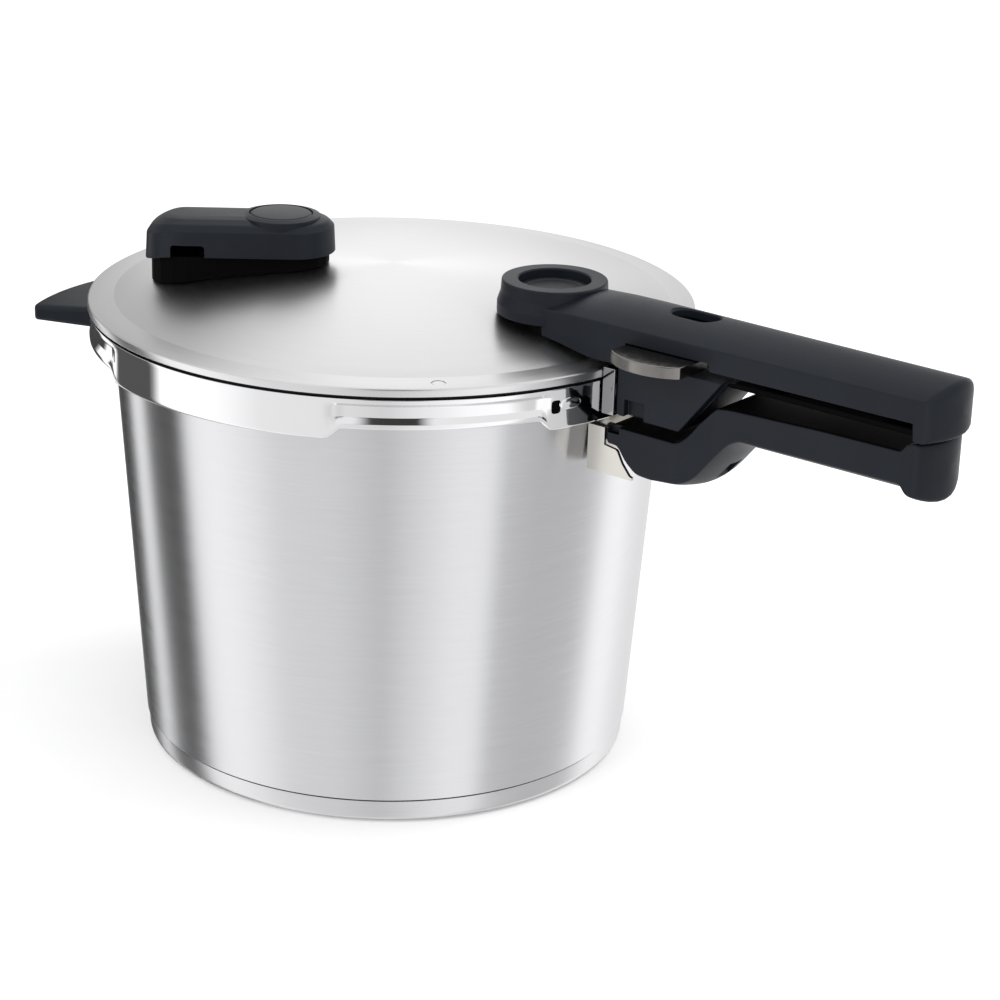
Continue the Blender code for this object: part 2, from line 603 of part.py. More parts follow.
# Lid --------------------------------------------------------------------------------------------
def lid_ring(angle):
    """Closed section of the lid sheet at one heading, as (radius, height) from the crown outwards."""
    share = hook_share(angle)
    foot = CURL_RADIUS + (HOOK_RADIUS - CURL_RADIUS) * share
    bottom = SKIRT_BOTTOM + (HOOK_BOTTOM - SKIRT_BOTTOM) * share
    inner = SKIRT_RADIUS - SHEET
    edge = dome_height(DOME_RADIUS)
    section = [(radius * MM, dome_height(radius * MM)) for radius in (30.0, 60.0, 90.0)]
    section += [
        (DOME_RADIUS, edge),
        (LID_RADIUS - 1.2 * MM, edge - 0.4 * MM),
        (LID_RADIUS, edge - 2.0 * MM),
        (LID_RADIUS - 0.2 * MM, RIM_LIP),
        (SKIRT_RADIUS, RIM_LIP - 1.4 * MM),
        (SKIRT_RADIUS, bottom + 2.0 * MM),
        (SKIRT_RADIUS - 0.5 * MM, bottom + 0.6 * MM),
        (SKIRT_RADIUS - 1.4 * MM, bottom),
        (foot, bottom),
        (foot, bottom + SHEET),
        (inner - 0.4 * MM, bottom + SHEET),
        (inner, bottom + SHEET + 0.6 * MM),
        (inner, RIM_LIP + 1.0 * MM),
        (SKIRT_RADIUS - 2.0 * MM, edge - 1.9 * MM),
        (DOME_RADIUS + 0.2 * MM, edge - SHEET),
    ]
    section += [(radius * MM, dome_height(radius * MM) - SHEET) for radius in (90.0, 60.0, 30.0)]
    return section


def make_lid_shell():
    work = bmesh.new()
    rows = []
    for i in range(LID_STATIONS):
        heading = 360.0 * i / LID_STATIONS
        turn = math.radians(heading)
        ring = [Vector((r * math.cos(turn), r * math.sin(turn), z)) for r, z in lid_ring(heading)]
        rows.append([work.verts.new(point) for point in ring])
    crown = work.verts.new((0.0, 0.0, LID_TOP))
    under = work.verts.new((0.0, 0.0, LID_TOP - SHEET))
    count = len(rows[0])
    for first, second in zip(rows, rows[1:] + rows[:1]):
        for j in range(count - 1):
            work.faces.new((first[j], first[j + 1], second[j + 1], second[j]))
        work.faces.new((crown, first[0], second[0]))
        work.faces.new((under, second[-1], first[-1]))
    bmesh.ops.remove_doubles(work, verts=work.verts, dist=MERGE)
    bmesh.ops.recalc_face_normals(work, faces=work.faces)
    mesh = bpy.data.meshes.new("lid_shell")
    work.to_mesh(mesh)
    work.free()
    lid = add_object("lid_shell", mesh, STEEL)
    soften(lid)
    low = LID_TOP - 2.0 * DOME_DROP
    high = LID_TOP + 2.0 * MM
    drill(lid, "control_hole", BUSH_RADIUS + GAP, low, high, (HEAD_X, 0.0))
    drill(lid, "release_hole", BUSH_RADIUS + GAP, low, high, (STEAM_X, STEAM_Y))
    drill(lid, "float_hole", BUSH_RADIUS + GAP, low, high, float_place())


def make_gasket():
    low = RIM_HEIGHT + GAP
    high = low + GASKET_HEIGHT
    lip = 1.2 * MM
    profile = [
        (GASKET_OUTER - 0.6 * MM, high),
        (GASKET_OUTER, high - 0.8 * MM),
        (GASKET_OUTER, low + 0.6 * MM),
        (GASKET_OUTER - 0.6 * MM, low),
        (WALL_TOP_RADIUS - SHEET, low),
        (GASKET_INNER, low),
        (GASKET_INNER, low + lip),
        (GASKET_INNER + 4.0 * MM, high),
    ]
    turned("lid_gasket", profile, SILICONE, steps=64)


def float_place():
    heading = math.radians(STEAM_HEADING)
    return (STEAM_X + FLOAT_AT * math.cos(heading), STEAM_Y + FLOAT_AT * math.sin(heading))


def under_lid(at, reach):
    """Lowest height of the lid's underside within reach of a place on the lid."""
    return dome_height(math.hypot(*at) + reach) - SHEET


def through_fitting(prefix, seal_name, at, top):
    """Bush through the lid, its collar and a soft washer below the lid; gives the collar's underside."""
    seal_top = under_lid(at, COLLAR_RADIUS) - GAP
    collar_top = seal_top - SEAL_THICKNESS - GAP
    collar_low = collar_top - COLLAR_THICKNESS
    washer = tube_profile(BUSH_RADIUS + GAP, COLLAR_RADIUS - 0.4 * MM, collar_top + GAP, seal_top)
    turned(seal_name, washer, SILICONE, at=at)
    profile = [(BUSH_RADIUS, top), (BUSH_RADIUS, collar_top), (COLLAR_RADIUS, collar_top),
               (COLLAR_RADIUS, collar_low), (BUSH_BORE, collar_low), (BUSH_BORE, top)]
    turned(prefix, profile, STEEL, at=at)
    return collar_low


# Lid handle -------------------------------------------------------------------------------------
def make_lid_handle():
    low = HANDLE_SEAM
    neck = HEAD_X + 9.0 * MM
    shoulder = HEAD_X + 18.0 * MM
    rim = dome_height(DOME_RADIUS) + RIM_CLEAR
    bridge_end = BLOCK_START - GAP
    bulge = HANDLE_END - END_BULGE
    root = handle_half(bulge)
    stations = (
        (neck, handle_half(neck), dome_height(neck) + RIM_CLEAR, HANDLE_CREASE, NECK_TOP),
        (shoulder, handle_half(shoulder), dome_height(shoulder) + 1.3 * RIM_CLEAR, HANDLE_CREASE, NECK_TOP),
        (DOME_RADIUS, handle_half(DOME_RADIUS), rim + 0.6 * MM, HANDLE_CREASE, HANDLE_TOP - 0.3 * MM),
        (bridge_end - 1.0 * MM, handle_half(bridge_end), rim + 0.6 * MM, HANDLE_CREASE, HANDLE_TOP),
        (bridge_end, handle_half(bridge_end), low, HANDLE_CREASE, HANDLE_TOP),
        (SIDE_STEP, handle_half(SIDE_STEP), low, HANDLE_CREASE, HANDLE_TOP),
        (SIDE_STEP + 2.0 * MM, handle_half(SIDE_STEP), END_BOTTOM + 1.6 * MM, HANDLE_CREASE, HANDLE_TOP),
        (bulge, root, END_BOTTOM, HANDLE_CREASE, HANDLE_TOP),
        (bulge + 0.6 * END_BULGE, end_face(0.6 * END_BULGE, root), END_BOTTOM + 0.3 * TUCK,
         HANDLE_CREASE - 0.3 * TUCK, HANDLE_TOP - 0.3 * TUCK),
        (HANDLE_END, end_face(0.95 * END_BULGE, root), END_BOTTOM + TUCK, HANDLE_CREASE - TUCK,
         HANDLE_TOP - TUCK),
    )
    rings = [crown_ring(*station) for station in stations]
    handle = loft("lid_handle_top", rings, PLASTIC)
    wall = HANDLE_WALL
    foot = rim - 6.0 * MM
    hollow = []
    for x in (HEAD_X + HEAD_FOOT_RADIUS + 2.0 * MM, SIDE_STEP):
        hollow.append(crown_ring(x, handle_half(x) - wall, foot, HANDLE_CREASE - 0.6 * MM, NECK_TOP - wall))
    carve(handle, loft("handle_cavity", hollow))
    at = (HEAD_X, 0.0)
    middle_radius = (DISH_RADIUS + HEAD_RADIUS) / 2.0
    drill(handle, "head_clear", middle_radius, HEAD_FOOT - 20.0 * MM, HEAD_TOP + 20.0 * MM, at, steps=36)
    web_low = WEB_TOP - WEB_THICKNESS
    drum = [
        (HEAD_RADIUS - 0.8 * MM, HEAD_TOP),
        (HEAD_RADIUS, HEAD_TOP - 0.8 * MM),
        (HEAD_FOOT_RADIUS, HEAD_TOP - 8.0 * MM),
        (HEAD_FOOT_RADIUS, HEAD_FOOT),
        (HEAD_FOOT_RADIUS - HEAD_WALL, HEAD_FOOT),
        (HEAD_FOOT_RADIUS - HEAD_WALL, web_low),
        (BUSH_RADIUS + GAP, web_low),
        (BUSH_RADIUS + GAP, WEB_TOP),
        (DISH_RADIUS, WEB_TOP),
        (DISH_RADIUS, HEAD_TOP),
    ]
    carve(handle, turned("head_drum", drum, steps=40, at=at), "UNION")
    radius = WINDOW_WIDTH / 2.0
    reach = WINDOW_LENGTH / 2.0 - radius
    oval = arc((WINDOW_X + reach, 0.0), radius, -90.0, 90.0, 7)
    oval += arc((WINDOW_X - reach, 0.0), radius, 90.0, 270.0, 7)
    carve(handle, plate("window_cut", oval, HANDLE_TOP - 8.0 * MM, HANDLE_TOP + 4.0 * MM))
    slot_end = BUTTON_START + BUTTON_LENGTH + LOCK_TRAVEL + 2.0 * GAP
    slot_start = BUTTON_START - GAP
    slot_inner = BUTTON_INNER + 2.0 * MM
    slot_outer = -BUTTON_REACH - 2.0 * BUTTON_BOW
    slot = [(slot_start, slot_outer), (slot_end, slot_outer), (slot_end, slot_inner),
            (slot_start, slot_inner)]
    carve(handle, plate("button_slot", slot, HANDLE_SEAM - 8.0 * MM, BUTTON_TOP + SLIDE_GAP))
    soften(handle, 32.0)


def make_lid_handle_base():
    """Under cover of the lid handle, with the block that stands outside the lid's rim."""
    half = HANDLE_HALF_END - HANDLE_WALL - GAP
    block_top = BUTTON_TOP - BUTTON_THICKNESS - GAP - 1.0 * MM
    cover_end = SIDE_STEP - 1.0 * MM
    cover_top = COVER_BOTTOM + 2.4 * MM
    front = [(BLOCK_START, BLOCK_BOTTOM + 1.0 * MM), (BLOCK_START + 1.0 * MM, BLOCK_BOTTOM),
             (BLOCK_FOOT, BLOCK_BOTTOM)]
    outline = front + [
        (BLOCK_END, COVER_BOTTOM),
        (cover_end, COVER_BOTTOM),
        (cover_end, cover_top),
        (BLOCK_END + 3.0 * MM, cover_top),
        (BLOCK_END + 1.0 * MM, block_top),
        (BLOCK_START, block_top),
    ]
    base = plate("lid_handle_base", outline, -half, half, PLASTIC, upright=True)
    block_half = handle_half(BLOCK_FOOT)
    sides = front + [(BLOCK_END, block_top), (BLOCK_START, block_top)]
    carve(base, plate("block_sides", sides, -block_half, block_half, upright=True), "UNION")
    rear_at = (REAR_SCREW_X, 0.0)
    boss_top = HANDLE_TOP - HANDLE_WALL - 3.0 * MM
    boss = disc_profile(4.4 * MM, COVER_BOTTOM + 0.5 * MM, boss_top)
    carve(base, turned("base_boss", boss, steps=20, at=rear_at), "UNION")
    wall_start = spring_stop() + GAP
    wall_end = wall_start + 2.4 * MM
    near = BOLT_MIDDLE - BOLT_HALF + 1.0 * MM
    far = BOLT_MIDDLE + BOLT_HALF - 1.0 * MM
    stop = [(wall_start, near), (wall_end, near), (wall_end, far), (wall_start, far)]
    stop_top = BUTTON_TOP - BUTTON_THICKNESS + 5.6 * MM
    carve(base, plate("spring_stop", stop, COVER_BOTTOM + 0.5 * MM, stop_top), "UNION")
    bore = SCREW_RADIUS + GAP
    drill(base, "rear_bore", bore, COVER_BOTTOM - 4.0 * MM, boss_top - 3.0 * MM, rear_at, steps=16)
    screw("lid_handle_rear_screw", rear_at, COVER_BOTTOM - SCREW_SUNK, boss_top - 4.0 * MM)
    front_at = (BLOCK_START + 9.0 * MM, 0.0)
    drill(base, "front_bore", bore, BLOCK_BOTTOM - 4.0 * MM, BLOCK_BOTTOM + 16.0 * MM, front_at, steps=16)
    screw("lid_handle_front_screw", front_at, BLOCK_BOTTOM - SCREW_SUNK, BLOCK_BOTTOM + 15.0 * MM)


def make_lid_bracket():
    """Polished U of sheet that carries the lid handle's block on the lid's rim."""
    sheet = 1.2 * MM
    half = HANDLE_HALF_ROOT
    inner = LID_RADIUS + GAP
    outer = BLOCK_START - GAP
    top = dome_height(DOME_RADIUS)
    low = BLOCK_BOTTOM - 0.2 * MM
    edge = math.degrees(math.asin(half / inner))
    outline = arc((0.0, 0.0), inner, -edge, edge, 7)
    outline += [(outer, half), (outer, half - sheet), (inner + 2.2 * MM, half - sheet - 2.0 * MM),
                (inner + 2.2 * MM, -half + sheet + 2.0 * MM), (outer, -half + sheet), (outer, -half)]
    plate("lid_handle_bracket", outline, low, top, MIRROR_STEEL)


def make_indicator():
    at = (HEAD_X, 0.0)
    bush_top = WEB_TOP + NUT_THICKNESS + GAP
    collar_low = through_fitting("control_valve_body", "control_valve_seal", at, bush_top)
    hexagon("control_valve_nut", NUT_RADIUS, BUSH_RADIUS + GAP, WEB_TOP + GAP, WEB_TOP + GAP + NUT_THICKNESS,
            FASTENER, at)
    cap_top = HEAD_TOP - 3.4 * MM
    cap_low = cap_top - 2.4 * MM
    cap_radius = DISH_RADIUS - SLIDE_GAP
    cap = [(0.0, cap_top), (cap_radius - 0.6 * MM, cap_top), (cap_radius, cap_top - 0.6 * MM),
           (cap_radius, cap_low), (0.0, cap_low)]
    turned("indicator_cap", cap, PLASTIC, steps=40, at=at)
    spring_length = 8.0 * MM
    foot_top = collar_low - GAP - spring_length - GAP
    foot = 1.8 * MM
    turned("indicator_stem", [
        (0.0, cap_low - GAP), (STEM_RADIUS, cap_low - GAP), (STEM_RADIUS, foot_top), (5.0 * MM, foot_top),
        (5.0 * MM, foot_top - foot), (0.0, foot_top - foot)], STEEL, steps=24, at=at)
    coil("indicator_spring", 3.4 * MM, foot_top + GAP, collar_low - GAP, 5, FASTENER, at)


def bolt_end():
    return BUTTON_START + BUTTON_LENGTH + 8.0 * MM


def spring_stop():
    """Far end of the lock's spring, where the under cover has a wall."""
    return bolt_end() + SPRING_LENGTH


def make_lock():
    """Slide button on the handle's near side, its bolt, its flag under the window and its spring."""
    low = BUTTON_TOP - BUTTON_THICKNESS
    end = BUTTON_START + BUTTON_LENGTH
    chord = BUTTON_LENGTH / 2.0
    radius = (chord * chord + BUTTON_BOW * BUTTON_BOW) / (2.0 * BUTTON_BOW)
    centre = (BUTTON_START + chord, -BUTTON_REACH - BUTTON_BOW + radius)
    half_angle = math.degrees(math.asin(chord / radius))
    outline = arc(centre, radius, -90.0 - half_angle, -90.0 + half_angle, 9)
    outline += [(end, BUTTON_INNER), (BUTTON_START, BUTTON_INNER)]
    plate("lock_button", outline, low, BUTTON_TOP, GUNMETAL)

    bolt_thickness = 3.0 * MM
    bolt_start = BUTTON_START - 2.0 * MM
    near = BOLT_MIDDLE - BOLT_HALF
    far = BOLT_MIDDLE + BOLT_HALF
    bolt = [(bolt_start, near), (bolt_end(), near), (bolt_end(), far), (bolt_start, far)]
    plate("lock_bolt", bolt, low, low + bolt_thickness, STEEL)
    flag_low = low + bolt_thickness + GAP
    flag_half = WINDOW_WIDTH / 2.0 + 0.4 * MM
    flag_start = WINDOW_X - WINDOW_LENGTH / 2.0 - 1.0 * MM
    flag_end = WINDOW_X + WINDOW_LENGTH / 2.0 + 0.6 * MM
    flag = [(flag_start, -flag_half), (flag_end, -flag_half), (flag_end, flag_half), (flag_start, flag_half)]
    plate("lock_indicator", flag, flag_low, flag_low + 2.0 * MM, GREEN)
    spring_at = (BOLT_MIDDLE, low + 2.8 * MM)
    coil("lock_spring", 2.2 * MM, bolt_end() + GAP, spring_stop(), 6, FASTENER, spring_at, along_x=True)


# Steam release ----------------------------------------------------------------------------------
def housing_plan(inset, count=9):
    """Stadium outline in the housing's own axes, drawn in by inset."""
    radius = STEAM_HALF - inset
    outline = arc((STEAM_FRONT, 0.0), radius, -90.0, 90.0, count)
    outline += arc((STEAM_BACK, 0.0), radius, 90.0, 270.0, count)
    return outline


def housing_height(x, level):
    """Height of a level of the housing at x along it: it dips towards the nose."""
    start = STEAM_FRONT + 2.0 * MM
    end = STEAM_FRONT + STEAM_HALF
    share = min(max((x - start) / (end - start), 0.0), 1.0)
    return level - (STEAM_CREASE - STEAM_NOSE) * share * share


def housing_ring(inset, level, count=9):
    return [(x, y, housing_height(x, level)) for x, y in housing_plan(inset, count)]


def place_on_housing(item):
    item.location = (STEAM_X, STEAM_Y, 0.0)
    item.rotation_euler = (0.0, 0.0, math.radians(STEAM_HEADING))
    return item


def make_steam_release():
    rings = [housing_ring(0.0, STEAM_SEAM), housing_ring(0.5 * MM, STEAM_CREASE),
             housing_ring(2.6 * MM, STEAM_CREASE + 2.6 * MM), housing_ring(7.0 * MM, STEAM_TOP - 0.5 * MM),
             housing_ring(11.0 * MM, STEAM_TOP)]
    housing = place_on_housing(loft("steam_housing", rings, PLASTIC))
    inner = [housing_ring(STEAM_WALL, STEAM_SEAM - 6.0 * MM),
             housing_ring(STEAM_WALL + 0.5 * MM, STEAM_CREASE - 0.6 * MM),
             housing_ring(6.0 * MM, STEAM_TOP - STEAM_WALL - 1.0 * MM)]
    carve(housing, place_on_housing(loft("housing_hollow", inner)))
    hole = disc_profile(PRESS_RADIUS + SLIDE_GAP, STEAM_CREASE - 4.0 * MM, STEAM_TOP + 4.0 * MM)
    carve(housing, place_on_housing(turned("press_hole", hole, steps=32)))
    carve(housing, vent_cutter("vent_cut", 5.0 * MM))
    soften(housing, 32.0)

    at = (STEAM_X, STEAM_Y)
    foot = housing_slices(STEAM_BASE_INSET, None, STEAM_SEAM - GAP)
    base = place_on_housing(loft("steam_housing_base", foot, PLASTIC))
    hollow = housing_slices(STEAM_BASE_INSET + 2.0 * MM, STEAM_FLOOR, STEAM_SEAM + 8.0 * MM)
    carve(base, place_on_housing(loft("base_hollow", hollow)))
    drill(base, "base_bore_release", BUSH_RADIUS + GAP, LID_TOP - 20.0 * MM, STEAM_TOP, at)
    drill(base, "base_bore_float", BUSH_RADIUS + GAP, LID_TOP - 20.0 * MM, STEAM_TOP, float_place())
    soften(base, 32.0)

    nut_low = STEAM_FLOOR + GAP
    nut_top = nut_low + NUT_THICKNESS
    collar_low = through_fitting("steam_valve_seat", "steam_valve_seal", at, nut_top + 0.4 * MM)
    hexagon("steam_housing_nut", NUT_RADIUS, BUSH_RADIUS + GAP, nut_low, nut_top, FASTENER, at)
    button_low = STEAM_CREASE + 0.6 * MM
    button_top = STEAM_TOP + 0.5 * MM
    button = [
        (0.0, button_top),
        (0.7 * PRESS_RADIUS, button_top - 0.1 * MM),
        (PRESS_RADIUS - 0.7 * MM, button_top - 0.4 * MM),
        (PRESS_RADIUS, button_top - 1.1 * MM),
        (PRESS_RADIUS, button_low),
        (0.0, button_low),
    ]
    turned("release_button", button, PLASTIC, steps=40, at=at)
    turned("release_stem", disc_profile(STEM_RADIUS, collar_low, button_low - GAP), STEEL, steps=20, at=at)
    poppet = disc_profile(6.2 * MM, collar_low - GAP - 2.4 * MM, collar_low - GAP)
    turned("release_poppet", poppet, SILICONE, steps=24, at=at)
    coil("release_spring", 4.4 * MM, nut_top + 0.4 * MM + GAP, button_low - GAP, 5, FASTENER, at)


def vent_cutter(name, depth):
    y = STEAM_HALF - depth
    high = STEAM_SEAM + VENT_HEIGHT
    round_off = 1.6 * MM
    end = VENT_START + VENT_LENGTH
    outline = [(VENT_START, STEAM_SEAM - 6.0 * MM), (end, STEAM_SEAM - 6.0 * MM), (end, high - round_off),
               (end - round_off, high), (VENT_START + round_off, high), (VENT_START, high - round_off)]
    return place_on_housing(plate(name, outline, y, STEAM_HALF + 6.0 * MM, upright=True))


def lid_height_under(x, y):
    """Height of the lid's top under a place in the housing's own axes."""
    heading = math.radians(STEAM_HEADING)
    across = STEAM_X + x * math.cos(heading) - y * math.sin(heading)
    aside = STEAM_Y + x * math.sin(heading) + y * math.cos(heading)
    return dome_height(math.hypot(across, aside))


def housing_slices(inset, low, high):
    """Cross sections of the stadium along the housing; low=None follows the lid."""
    radius = STEAM_HALF - inset
    places = [(STEAM_BACK - radius * math.sin(math.radians(a)), radius * math.cos(math.radians(a)))
              for a in (84.0, 66.0, 45.0, 22.0, 0.0)]
    span = STEAM_FRONT - STEAM_BACK
    places += [(STEAM_BACK + span * share, radius) for share in (0.25, 0.5, 0.75)]
    places += [(STEAM_FRONT + radius * math.sin(math.radians(a)), radius * math.cos(math.radians(a)))
               for a in (0.0, 22.0, 45.0, 66.0, 84.0)]
    rings = []
    for x, half in places:
        ring = []
        for share in (-1.0, -0.5, 0.0, 0.5, 1.0):
            foot = lid_height_under(x, half * share) + 2.0 * GAP if low is None else housing_height(x, low)
            ring.append((x, half * share, foot))
        ring += [(x, half, housing_height(x, high)), (x, -half, housing_height(x, high))]
        rings.append(ring)
    return rings


def make_float_valve():
    at = float_place()
    top = LID_TOP + 2.2 * MM
    collar_low = through_fitting("float_valve_bush", "float_valve_seal", at, top)
    foot_top = collar_low - FLOAT_TRAVEL - GAP
    pin_top = top + 4.0 * MM
    turned("float_pin", [
        (0.0, pin_top), (STEM_RADIUS, pin_top), (STEM_RADIUS, foot_top), (5.0 * MM, foot_top),
        (5.0 * MM, foot_top - 2.0 * MM), (0.0, foot_top - 2.0 * MM)], MIRROR_STEEL, steps=24, at=at)
    turned("float_clip", tube_profile(STEM_RADIUS + GAP, 4.0 * MM, top + GAP, top + GAP + 1.0 * MM), FASTENER,
           steps=20, at=at)


def main():
    clear_scene()
    make_pot()
    make_pot_handle()
    make_side_handle()
    make_lid_shell()
    make_gasket()
    make_lid_handle()
    make_lid_handle_base()
    make_lid_bracket()
    make_indicator()
    make_lock()
    make_steam_release()
    make_float_valve()


main()
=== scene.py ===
"""Looks of the stovetop pressure cooker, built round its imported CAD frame.

Frame: metres, +Z up, origin at the centre of the base, +X along the long handles.
"""

import math

import bmesh
import bpy
import numpy as np
from mathutils import Matrix, Vector


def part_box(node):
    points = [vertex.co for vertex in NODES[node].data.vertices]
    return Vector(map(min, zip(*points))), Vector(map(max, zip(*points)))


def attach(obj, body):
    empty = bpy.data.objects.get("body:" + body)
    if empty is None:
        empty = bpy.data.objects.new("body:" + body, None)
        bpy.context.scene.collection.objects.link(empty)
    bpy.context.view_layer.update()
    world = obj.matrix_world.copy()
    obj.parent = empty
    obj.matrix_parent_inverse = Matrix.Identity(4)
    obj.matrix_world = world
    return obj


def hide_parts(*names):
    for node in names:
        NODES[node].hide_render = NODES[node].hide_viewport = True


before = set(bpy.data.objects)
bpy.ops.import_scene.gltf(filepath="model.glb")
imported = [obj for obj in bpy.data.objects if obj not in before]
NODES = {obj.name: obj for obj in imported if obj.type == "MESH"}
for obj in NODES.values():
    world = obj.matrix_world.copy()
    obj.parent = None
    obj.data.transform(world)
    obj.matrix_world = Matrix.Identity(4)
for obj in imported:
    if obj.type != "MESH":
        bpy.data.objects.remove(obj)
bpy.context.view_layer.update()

MM = 0.001
MERGE = 0.01 * MM

# Pot, as in the CAD
SHEET = 1.2 * MM
BASE_RADIUS = 100.0 * MM
BASE_HEIGHT = 9.2 * MM
WALL_FOOT = 9.8 * MM
WALL_FOOT_RADIUS = 101.0 * MM
WALL_TOP_RADIUS = 112.5 * MM
RIM_HEIGHT = 182.4 * MM
FLANGE_BOTTOM = 180.8 * MM
LOBE_RADIUS = 118.3 * MM
NECK_RADIUS = 113.9 * MM

# Lid
LID_TOP = 200.0 * MM
DOME_DROP = 12.5 * MM
DOME_RADIUS = 113.0 * MM
LID_RADIUS = 122.0 * MM
RIM_LIP = 183.4 * MM
SKIRT_RADIUS = 121.5 * MM
SKIRT_BOTTOM = 166.0 * MM
CURL_RADIUS = 119.2 * MM
HOOK_RADIUS = 115.0 * MM
HOOK_BOTTOM = 170.4 * MM
HOOK_COUNT = 4
HOOK_CENTRE = -40.0
HOOK_HALF = 17.5
HOOK_BLEND = 3.0
TURN_ANGLE = 41.0
LOBE_BOTTOM = 172.2 * MM
DENT = 1.5 * MM              # the skirt's hollow above each hook
GROOVE_RADIUS = 120.1 * MM   # groove between the brushed rim and the polished skirt; its faces are painted black as shade
GROOVE_LOW = 182.1 * MM
LID_CREASE = 40.0            # edges sharper than this many degrees stay sharp on the lid
MARK_ANGLE = -40.6           # engraved ring on the rim
MARK_AT = 117.0 * MM
HOLE_ANGLE = -18.8           # hole in the skirt and the pad beside it
HOLE_HEIGHT = 175.2 * MM
PAD_ANGLE = -15.9
PAD_HEIGHT = 175.8 * MM

# Long handles
HANDLE_END = 262.0 * MM
HALF_ROOT = 19.0 * MM
HALF_END = 15.5 * MM
HANDLE_TOP = 209.8 * MM
NECK_TOP = 208.6 * MM
HANDLE_CREASE = 204.0 * MM
HEAD_X = 82.0 * MM
HEAD_TOP = 210.0 * MM
HEAD_RADIUS = 20.4 * MM
HEAD_FOOT_RADIUS = 22.0 * MM
HEAD_FOOT = 196.9 * MM
HEAD_WALL = 2.4 * MM
DISH_RADIUS = 14.0 * MM
WEB_TOP = 200.2 * MM
BORE_RADIUS = 6.0 * MM
HANDLE_WALL = 2.2 * MM
WINDOW_X = 148.5 * MM
WINDOW_LENGTH = 20.0 * MM
WINDOW_WIDTH = 11.0 * MM
END_BULGE = 5.0 * MM
POT_HANDLE_START = 123.0 * MM
POT_HANDLE_END = 259.0 * MM
TAPER_START = 156.0 * MM     # the pot handle keeps its root's width up to here
TAPER_MERGE = 170.0 * MM     # and has the lid handle's width from here on

# Steam release
STEAM_X = -35.0 * MM
STEAM_Y = -28.5 * MM
STEAM_HEADING = 221.0
STEAM_TOP = 219.3 * MM
STEAM_CREASE = 214.6 * MM
STEAM_SEAM = 204.4 * MM
STEAM_NOSE = 210.6 * MM
STEAM_HALF = 16.8 * MM
STEAM_BACK = -5.0 * MM
STEAM_FRONT = 37.2 * MM
STEAM_WALL = 1.8 * MM
PRESS_RADIUS = 12.4 * MM
FLOAT_AT = 27.0 * MM

# Reach of cutting tools, well past what they cut
TOOL_TOP = 230.0 * MM
TOOL_FOOT = 170.0 * MM


# Node materials -----------------------------------------------------------------------------------
class Look:
    """A Principled material and short ways to wire procedural detail into it."""

    def __init__(self, name, colour, metallic, roughness, **sockets):
        self.material = bpy.data.materials.new(name)
        self.material.use_nodes = True
        self.nodes = self.material.node_tree.nodes
        self.links = self.material.node_tree.links
        self.shader = self.nodes["Principled BSDF"]
        self.shader.inputs["Base Color"].default_value = (*colour, 1.0)
        self.shader.inputs["Metallic"].default_value = metallic
        self.shader.inputs["Roughness"].default_value = roughness
        for socket, value in sockets.items():
            self.shader.inputs[socket.replace("_", " ")].default_value = value
        self.material.diffuse_color = (*colour, 1.0)
        self.place = self.nodes.new("ShaderNodeTexCoord").outputs["Object"]

    def node(self, kind, **values):
        made = self.nodes.new(kind)
        for key, value in values.items():
            setattr(made, key, value)
        return made

    def math(self, operation, first, second=0.0):
        made = self.node("ShaderNodeMath", operation=operation)
        for socket, value in zip(made.inputs, (first, second)):
            if isinstance(value, bpy.types.NodeSocket):
                self.links.new(value, socket)
            else:
                socket.default_value = value
        return made.outputs[0]

    def stretched(self, scale):
        made = self.node("ShaderNodeMapping")
        made.inputs["Scale"].default_value = scale
        self.links.new(self.place, made.inputs["Vector"])
        return made.outputs[0]

    def rings(self, along, across):
        """Coordinates that run along circles about Z, and across them by radius and height."""
        split = self.node("ShaderNodeSeparateXYZ")
        self.links.new(self.place, split.inputs[0])
        x, y, z = split.outputs
        squares = self.math("ADD", self.math("MULTIPLY", x, x), self.math("MULTIPLY", y, y))
        radius = self.math("SQRT", squares)
        join = self.node("ShaderNodeCombineXYZ")
        self.links.new(self.math("MULTIPLY", x, along), join.inputs[0])
        self.links.new(self.math("MULTIPLY", y, along), join.inputs[1])
        self.links.new(self.math("MULTIPLY", self.math("SUBTRACT", radius, z), across), join.inputs[2])
        return join.outputs[0]

    def noise(self, vector, scale=1.0, detail=2.0, rough=0.5):
        made = self.node("ShaderNodeTexNoise")
        made.inputs["Scale"].default_value = scale
        made.inputs["Detail"].default_value = detail
        made.inputs["Roughness"].default_value = rough
        self.links.new(vector, made.inputs["Vector"])
        return made.outputs["Fac"]

    def spread(self, value, low, high):
        """A 0..1 value mapped to low..high."""
        made = self.node("ShaderNodeMapRange")
        made.inputs["From Min"].default_value = 0.25
        made.inputs["From Max"].default_value = 0.75
        made.inputs["To Min"].default_value = low
        made.inputs["To Max"].default_value = high
        self.links.new(value, made.inputs["Value"])
        return made.outputs[0]

    def tint(self, value, first, second):
        made = self.node("ShaderNodeMix", data_type="RGBA")
        self.links.new(value, made.inputs["Factor"])
        made.inputs[6].default_value = (*first, 1.0)
        made.inputs[7].default_value = (*second, 1.0)
        self.links.new(made.outputs[2], self.shader.inputs["Base Color"])

    def bump(self, value, strength, distance):
        made = self.node("ShaderNodeBump")
        made.inputs["Strength"].default_value = strength
        made.inputs["Distance"].default_value = distance
        self.links.new(value, made.inputs["Height"])
        self.links.new(made.outputs[0], self.shader.inputs["Normal"])

    def roughness(self, value, low, high):
        self.links.new(self.spread(value, low, high), self.shader.inputs["Roughness"])


